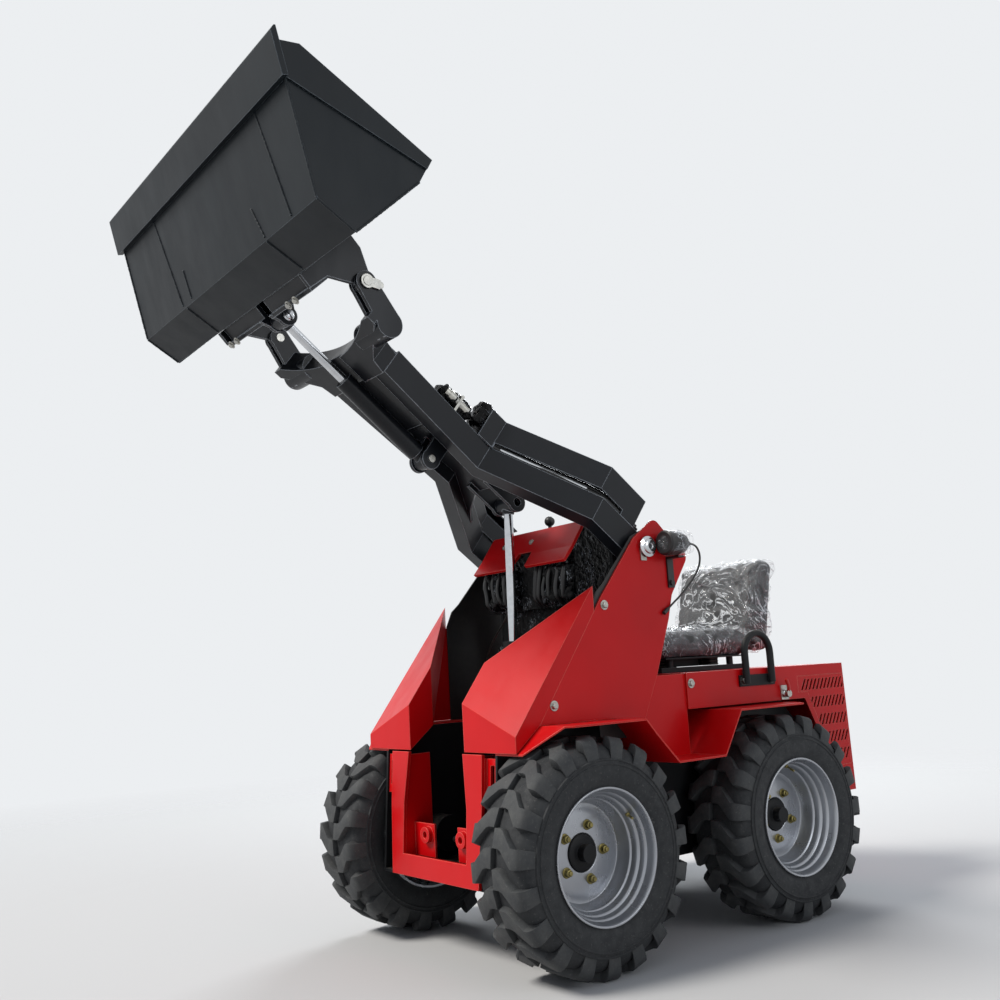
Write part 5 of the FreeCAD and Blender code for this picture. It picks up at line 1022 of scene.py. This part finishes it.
# %% Hoses in the well
sway = random.Random(7)
well_hoses = []
for across in (-0.195, -0.160, -0.128, -0.100, -0.078, -0.058, 0.058, 0.078, 0.098, 0.125, 0.158, 0.190):
    size = sway.choice((0.0065, 0.0080, 0.0095))
    wave = [sway.uniform(-0.006, 0.006) for number in range(8)]
    top = [(-0.020, across, 1.066), (-0.008 + wave[0], across + wave[1], 1.035), (-0.004 + wave[2], across * 0.97, 0.995),
           (-0.010 + wave[3] / 2, across * 0.95 + wave[4], 0.960), (-0.040, across * 0.94, 0.945)]
    well_hoses.append(hose("well_hose_part", top, size))
    down = math.copysign(min(max(abs(across) * 0.85, 0.056), 0.128), across)
    low = math.copysign(max(abs(across) * 0.50, 0.056), across)
    rest = [(-0.045, down, 0.850), (-0.018, down, 0.832), (-0.010 + wave[5] / 2, down + wave[6], 0.770), (-0.004, down * 0.9 + wave[7], 0.710),
            (0.000, low, 0.640), (0.020, low, 0.560), (0.050, low, 0.480), (0.080, low, 0.400), (0.080, low, 0.330),
            (0.020, low, 0.285), (-0.080, low, 0.270)]
    well_hoses.append(hose("well_hose_part", rest, size))
well_hoses.append(hose("well_hose_part", [(0.100, 0.058, 0.320), (0.200, 0.058, 0.335), (0.256, 0.056, 0.395), (0.252, 0.056, 0.462),
                                          (0.212, 0.056, 0.500), (0.150, 0.058, 0.498), (0.060, 0.062, 0.450)], 0.009))
well_hoses.append(hose("well_hose_part", [(0.100, -0.055, 0.285), (0.200, -0.058, 0.290), (0.262, -0.050, 0.300), (0.276, 0.000, 0.306),
                                          (0.258, 0.052, 0.300), (0.200, 0.060, 0.290), (0.080, 0.058, 0.280)], 0.0085))
dress(join("well_hoses", well_hoses), "chassis", "black_plastic", hose_rubber, 60)
well_pipe = hose("well_pipe", [(-0.104, -0.216, 0.940), (-0.104, -0.235, 0.916), (-0.104, -0.290, 0.872), (-0.104, -0.340, 0.815),
                               (-0.104, -0.347, 0.780)], 0.0032)
dress(well_pipe, "chassis", "zinc", dark_steel, 60)

# %% Hoses on the arms
def beside_arm(along, inset, above, side):
    """A point on an arm's top, so far in from its outer face."""
    if along <= 0.185:
        outer = 0.334
    elif along <= 0.473:
        outer = 0.334 - (along - 0.185) / 0.288 * 0.223
    else:
        outer = 0.111 + (along - 0.473) / 0.397 * 0.025
    return on_boom(along, side * (outer - inset), above)


arm_hoses = []
for side in (1, -1):
    for row, (inset, above) in enumerate(((0.014, 0.0455), (0.031, 0.0455), (0.047, 0.0455), (0.023, 0.0600), (0.040, 0.0605))):
        stops = [0.030, 0.080, 0.135, 0.175, 0.215, 0.270, 0.330, 0.390, 0.440, 0.490, 0.545]
        arm_hoses.append(hose("arm_hose_part", [beside_arm(stop, inset + sway.uniform(-0.002, 0.002), above, side)
                                                for stop in stops], 0.0082))
dress(join("arm_hoses", arm_hoses), "boom", "black_plastic", hose_rubber, 60)
arm_pipe = hose("arm_pipe", [beside_arm(stop, 0.010, 0.047, 1) for stop in (0.225, 0.250, 0.300, 0.350, 0.400, 0.445)], 0.006)
dress(arm_pipe, "boom", "rod_chrome", rod_chrome, 60)
liners = []
for side in (1, -1):
    stops = (0.052, 0.100, 0.150, 0.185, 0.235, 0.300, 0.370, 0.440, 0.500)
    strip = add("plane", "guard_liner_part", size=0.001)
    open_mesh(strip, "VERT")
    bpy.ops.mesh.select_all(action="SELECT")
    bpy.ops.mesh.merge(type="CENTER")
    bpy.ops.transform.translate(value=beside_arm(stops[0], 0.056, 0.0375, side))
    for before, after in zip(stops, stops[1:]):
        move = beside_arm(after, 0.056, 0.0375, side) - beside_arm(before, 0.056, 0.0375, side)
        bpy.ops.mesh.extrude_vertices_move(TRANSFORM_OT_translate={"value": move})
    bpy.ops.mesh.select_all(action="SELECT")
    bpy.ops.mesh.extrude_region_move(TRANSFORM_OT_translate={"value": boom_square * 0.060})
    close_mesh()
    apply_modifier(strip, "SOLIDIFY", thickness=0.003, offset=0)
    liners.append(strip)
dress(join("guard_liners", liners), "boom", "boom_paint", boom_paint)
infill = add_block("boom_infill", (0.645, -0.088, -0.004), (0.905, 0.088, 0.004))
open_mesh(infill)
pick_points(infill, lambda place: place.x < 0.7)
bpy.ops.transform.resize(value=(1, 0.86, 1))
close_mesh()
infill.data.transform(Matrix.Translation(pivot) @ Matrix.Rotation(-boom_rise, 4, "Y"))
dress(infill, "boom", "boom_paint", boom_paint)
tilt_hoses = []
for side in (1, -1):
    tilt_hoses.append(hose("tilt_hose_part", [on_boom(0.560, side * 0.052, 0.050), on_boom(0.600, side * 0.048, 0.072),
                                              on_boom(0.645, side * 0.040, 0.078), on_boom(0.690, side * 0.030, 0.060),
                                              on_boom(0.715, side * 0.022, 0.030)], 0.008))
dress(join("tilt_hoses", tilt_hoses), "boom", "black_plastic", hose_rubber, 60)

# %% [markdown]
# ## Bolts and small fittings
#
# The heads that hold the guards and plates catch the light as small bright points. A bolt is
# a washer and a hexagonal head with a bevelled top, spun about its axis. It is copied to each
# place and turned to stand on its plate.

# %% Bolts
def bolt_form(name, across, height):
    washer = turned(name, [(0, 0), (across * 0.72, 0), (across * 0.72, 0.0018), (0, 0.0018)], 24)
    head = turned(name + "_head", [(0, 0.0018), (across * 0.5, 0.0018), (across * 0.5, height - 0.0015),
                                   (across * 0.42, height), (0, height)], 6)
    return join(name, [washer, head])


bolt = bolt_form("bolt", 0.019, 0.0085)
big_bolt = bolt_form("big_bolt", 0.026, 0.012)
forward = (math.cos(math.radians(37)), 0, math.sin(math.radians(37)))
bolt_places = [
    ("chassis", zinc, bolt, [(side_x, side * (body_y + 0.0002), height) for side in (1, -1)
                             for side_x, height in ((0.0025, 0.9233), (0.205, 0.6619))]),
    ("hood", zinc, bolt, [(-0.318, side * 0.3622, 0.693) for side in (1, -1)]),
    ("hood", dark_steel, bolt, [(-0.675, 0.3682, 0.689), (-0.542, 0.3682, 0.689), (-0.675, -0.3682, 0.689), (-0.542, -0.3682, 0.689)]),
    ]
for body, finish, form, places in bolt_places:
    heads = []
    for number, place in enumerate(places):
        heads.append(aim(copy_of(form, "bolt_part"), place, (0, math.copysign(1, place[1]), 0)))
    if heads:
        dress(join("bolts_of_%s_%s" % (body, finish.name), heads), body, "zinc", finish, 30)
visor_bolts = []
for across in (-0.131, 0.006):
    small = copy_of(bolt, "bolt_part")
    small.data.transform(Matrix.Scale(0.7, 4))
    visor_bolts.append(aim(small, (-0.0435, across, 1.1470), (0.81, 0, 0.59)))
dress(join("visor_bolts", visor_bolts), "chassis", "zinc", zinc, 30)
heel_bolts = [aim(copy_of(big_bolt, "bolt_part"), (0.8275, across, 1.7175), (0.735, 0, -0.678))
              for across in (0.190, 0.150, -0.176, -0.214)]
for head in heel_bolts:
    middle_of_head = sum((point.co for point in head.data.vertices), Vector()) / len(head.data.vertices)
    head.data.transform(Matrix.Translation(middle_of_head) @ Matrix.Scale(0.62, 4) @ Matrix.Translation(-middle_of_head))
dress(join("bucket_bolts", heel_bolts), "bucket", "zinc", zinc, 30)
for form in (bolt, big_bolt):
    bpy.data.objects.remove(form, do_unlink=True)

# %% [markdown]
# ## Caps on the boom's pivot
#
# Each end of the pivot's pin has a polished cap with a raised middle. It is the brightest
# point on the tower.

# %% Pivot caps
cap = turned("pivot_cap_left", [(0, 0), (0.0300, 0), (0.0308, 0.0015), (0.0300, 0.0035), (0.0215, 0.0060), (0.0205, 0.0105),
                                (0.0180, 0.0125), (0.0090, 0.0130), (0.0080, 0.0110), (0, 0.0110)], 40)
aim(cap, (pivot.x, 0.3702, pivot.z), (0, 1, 0))
other_cap = mirrored(cap, "pivot_cap_right")
for piece in (cap, other_cap):
    dress(piece, "chassis", "zinc", rod_chrome, 40)
tilt_caps = []
for side in (1, -1):
    tilt_cap = turned("tilt_cap_part", [(0, 0), (0.0165, 0), (0.0170, 0.0015), (0.0165, 0.0050), (0.0130, 0.0065), (0.0125, 0.0105),
                                        (0.0105, 0.0120), (0, 0.0120)], 32)
    tilt_caps.append(aim(tilt_cap, (0.7746, side * 0.0364, 1.7348), (0, side, 0)))
dress(join("tilt_pin_caps", tilt_caps), "bucket", "zinc", rod_chrome, 40)

# %% [markdown]
# ## Hood latch
#
# A plated turn button with a red pull that curves up beside the hood's grille.

# %% Latch
button = turned("latch_button", [(0, 0), (0.0125, 0), (0.0125, 0.006), (0.0105, 0.008), (0, 0.009)], 32)
aim(button, (-0.7385, 0.3640, 0.640), (0, 1, 0))
dress(button, "hood", "zinc", rod_chrome, 40)
pull = hose("latch_pull", [(-0.7385, 0.372, 0.640), (-0.7385, 0.382, 0.650), (-0.7345, 0.3845, 0.668), (-0.7270, 0.3835, 0.684)], 0.0055)
dress(pull, "hood", "red_paint", red_plastic, 60)

# %% [markdown]
# ## Weld beads
#
# The bucket is folded from plate and closed by welds, and its skin carries two long seams. A
# weld bead is a row of overlapping ripples. It is spun from a wavy profile, thinner at both
# ends, and laid along its seam.

# %% Welds
def weld(start, end, radius=0.0042, pitch=0.0055):
    """A rippled bead from one point to another."""
    start, end = Vector(start), Vector(end)
    count = max(6, int((end - start).length / pitch))
    step = (end - start).length / count
    profile = [(0, 0)]
    for number in range(count):
        size = radius * sway.uniform(0.85, 1.10)
        profile += [(size * 0.78, number * step + step * 0.10), (size, number * step + step * 0.55)]
    profile.append((0, (end - start).length))
    return aim(turned("weld_part", profile, 8), start, end - start)


skin = 0.0015
bucket_seams = [
    ((1.0262, 0.386, 2.097), (0.9540, 0.431, 1.818)), ((1.0262, -0.302, 2.097), (0.9545, -0.251, 1.820)),
    ((0.9755, 0.2586, 1.901), (0.9545, 0.2883, 1.820)), ((0.9760, -0.1934, 1.9035), (0.9548, -0.186, 1.822)),
    ((0.9510, 0.2886, 1.8110), (0.8600, 0.2960, 1.7560)), ((0.9500, -0.2341, 1.8110), (0.8580, -0.2350, 1.7548)),
    ((1.0400, 0.5530, 2.1480), (0.9525, 0.5530, 1.8130)), ((0.9525, 0.5530, 1.8130), (0.8565, 0.5530, 1.7540)),
    ((1.0400, -0.5530, 2.1480), (0.9525, -0.5530, 1.8130)), ((0.9525, -0.5530, 1.8130), (0.8565, -0.5530, 1.7540)),
    ((0.8565, 0.5530, 1.7540), (0.6765, 0.5530, 1.9200)), ((0.8565, -0.5530, 1.7540), (0.6765, -0.5530, 1.9200)),
]
dress(join("bucket_welds", [weld(start, end, 0.0035) for start, end in bucket_seams]), "bucket", "bucket_paint",
      bucket_paint, 50)

# %% [markdown]
# ## Rods
#
# The ground rods are true cylinders, and they are the first thing the eye checks. Each is
# spun anew with enough steps to be round and takes the place of the plain one, and its eye
# is a painted ring of its own.

# %% Smooth rods
for name, foot, eye, radius, start in (
        ("lift_rod", Vector((shift - 0.110, 0, 0.300)), Vector((shift - 0.133, 0, 1.262)), 0.014, 0.42),
        ("tilt_rod", Vector((shift + 0.1650, 0, 1.3749)), Vector((shift + 0.6061, 0, 1.7348)), 0.0125, 0.25)):
    low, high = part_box(name)
    ring = high.z - eye.z
    length = (eye - foot).length
    rod = turned(name + "_bar", [(0, start), (radius, start), (radius, length - ring * 0.8), (0, length - ring * 0.8)], 48)
    aim(rod, foot, eye - foot)
    collar = turned(name + "_collar", [(0, length - ring * 1.25), (radius * 1.25, length - ring * 1.25),
                                       (radius * 1.35, length - ring * 1.1), (radius * 1.35, length - ring * 0.6),
                                       (0, length - ring * 0.6)], 40)
    aim(collar, foot, eye - foot)
    half = high.y - 0.0004
    loop = turned(name + "_ring", [(ring * 0.52, -half), (ring - 0.0015, -half), (ring, -half + 0.0015), (ring, half - 0.0015),
                                   (ring - 0.0015, half), (ring * 0.52, half), (ring * 0.52, -half)], 48)
    loop.data.transform(Matrix.Translation(eye))
    dress(rod, name, "rod_chrome", rod_chrome, 40)
    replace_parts(rod, name)
    dress(join(name + "_eye", [collar, loop]), name, "boom_paint", boom_paint, 40)

# %% [markdown]
# ## Film on the lamp, valves, pump and couplers
#
# The new machine is still wrapped here and there: the lamp in clear film, the couplers and the valves behind the visor in film that looks black from what it
# covers. Each wrap is a rounded lump turned into an even skin and crumpled twice.

# %% Wraps
dark_film, tree, shader = new_material("dark_film", roughness=0.08, ior=1.5)
shader.inputs["Specular IOR Level"].default_value = 0.12
glint = node(tree, "Math", operation="PINGPONG")
glint.inputs[1].default_value = 0.05
wire(tree, pattern(tree, 26, 6, 0.65, stretch=(1, 1, 0.45)), glint.inputs[0])
glinting = times(tree, ramp(tree, glint.outputs[0], 0.042, 0.050), ramp(tree, pattern(tree, 19, 3), 0.50, 0.60))
# Painted glints: the base colour turns light along thin wavy lines, standing in for highlights on the creased film.
wire(tree, blend(tree, glinting, srgb(6, 6, 8), srgb(205, 212, 220)), shader.inputs["Base Color"])
wire(tree, bump(tree, pattern(tree, 60, 4, 0.6), 1.0, 0.008), shader.inputs["Normal"])

thin_film = film_material("thin_film", 26, 0.02, 0.75)


def wrap(name, low, high, voxel, folds, creases, body, material, slot):
    """A crumpled skin in the space between two corners."""
    piece = add_block(name, low, high)
    size = min(piece.dimensions)
    soften(piece, size * 0.42, 4, 30)
    apply_modifier(piece, "REMESH", mode="VOXEL", voxel_size=voxel)
    crumple(piece, name + "_folds", *folds)
    apply_modifier(piece, "SUBSURF", levels=1, render_levels=1)
    crumple(piece, name + "_creases", *creases, kind="STUCCI")
    area = sum(face.area for face in piece.data.polygons)
    wide = area ** 0.5
    hollow(piece)
    dress(piece, body, slot, material, 50)
    return piece, wide, area


wraps = [
    ("lamp_film", (-0.320, 0.3635, 1.060), (-0.207, 0.4405, 1.136), 0.0050, (0.04, 0.008), (0.016, 0.006),
     "chassis", thin_film, "black_plastic", "work_lamp"),
    ("valve_film_left", (-0.045, 0.047, 0.948), (-0.010, 0.212, 1.064), 0.008, (0.05, 0.024), (0.020, 0.012),
     "chassis", dark_film, "black_plastic", "console"),
    ("valve_film_right", (-0.045, -0.212, 0.948), (-0.010, -0.047, 1.064), 0.008, (0.05, 0.024), (0.020, 0.012),
     "chassis", dark_film, "black_plastic", "console"),
    ("pump_film_left", (-0.045, 0.050, 0.560), (-0.018, 0.165, 0.838), 0.008, (0.05, 0.020), (0.020, 0.012),
     "chassis", dark_film, "black_plastic", "console_pedestal"),
    ("pump_film_right", (-0.045, -0.165, 0.560), (-0.018, -0.050, 0.838), 0.008, (0.05, 0.020), (0.020, 0.012),
     "chassis", dark_film, "black_plastic", "console_pedestal"),
]
for name, low, high, voxel, folds, creases, body, material, slot, under in wraps:
    piece, wide, area = wrap(name, low, high, voxel, folds, creases, body, material, slot)
    print(name, "of", round(area, 4), "square metres")
for name, centre, half, under in (("coupler_film", on_boom(0.631, 0.066, 0.084), (0.062, 0.032, 0.030), "quick_couplers"),
                                  ("guard_end_film", on_boom(0.528, 0.074, 0.112), (0.036, 0.036, 0.044), "hose_guards")):
    lump = add_block(name, -Vector(half), half)
    lump.data.transform(Matrix.Translation(centre) @ Matrix.Rotation(-boom_rise, 4, "Y"))
    soften(lump, 0.024, 4, 30)
    apply_modifier(lump, "REMESH", mode="VOXEL", voxel_size=0.006)
    crumple(lump, name + "_folds", 0.04, 0.030)
    apply_modifier(lump, "SUBSURF", levels=1, render_levels=1)
    crumple(lump, name + "_creases", 0.016, 0.010, "STUCCI")
    wide = sum(face.area for face in lump.data.polygons) ** 0.5
    hollow(lump)
    dress(lump, "boom", "black_plastic", dark_film, 50)

# %% [markdown]
# ## The lamp's cable
#
# A thin cable leaves the lamp, falls in a slack loop and goes into a gland on the tower. The
# route is the same as the frame's plain tube, as the control points of a smooth curve.

# %% Cable
cable_route = [
    (-0.3165, 0.402, 1.098), (-0.3415, 0.402, 1.098), (-0.3625, 0.400, 1.074), (-0.3645, 0.396, 1.042),
    (-0.3515, 0.388, 1.010), (-0.3275, 0.379, 0.979), (-0.2985, 0.3725, 0.951), (-0.2675, 0.3684, 0.928),
    (-0.2415, 0.3684, 0.910),
]
line = bpy.data.curves.new("lamp_cord", "CURVE")
line.dimensions = "3D"
line.bevel_depth = 0.003
line.bevel_resolution = 4
line.use_fill_caps = True
spline = line.splines.new("NURBS")
spline.points.add(len(cable_route) - 1)
for point, place in zip(spline.points, cable_route):
    point.co = (*place, 1)
spline.order_u = 3
spline.use_endpoint_u = True
cable = bpy.data.objects.new("lamp_cord", line)
bpy.context.scene.collection.objects.link(cable)
line.materials.append(black_plastic)
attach(cable, "chassis")
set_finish(cable, "black_plastic")
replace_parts(cable, "lamp_cable")
print("the lamp's cable is 273 mm long")

# %% [markdown]
# ## Springs under the seat
#
# Four short coil springs carry the cushion between the rails and the pan.

# %% Springs
coils = []
for place_x in (-0.470, -0.690):
    for place_y in (-0.110, 0.110):
        for turn in range(3):
            coils.append(add("torus", "spring_part", location=(place_x, place_y, 0.7445 + turn * 0.0090), major_radius=0.024,
                             minor_radius=0.0036, major_segments=28, minor_segments=8))
springs = join("seat_springs", coils)
dress(springs, "hood", "black_plastic", dark_steel, 60)
base = join("seat_base", [add_block("seat_base_part", (low, -0.098, 0.7410), (high, 0.098, 0.7690))
                          for low, high in ((-0.455, -0.425), (-0.650, -0.505), (-0.745, -0.705))])
soften(base, 0.002, 1)
dress(base, "hood", "black_plastic", frame_paint)
frame["nodes"]["hood_latch"].data.materials[0] = zinc
frame["nodes"]["console"].data.materials[0] = dark_film
frame["nodes"]["console_pedestal"].data.materials[0] = dark_film
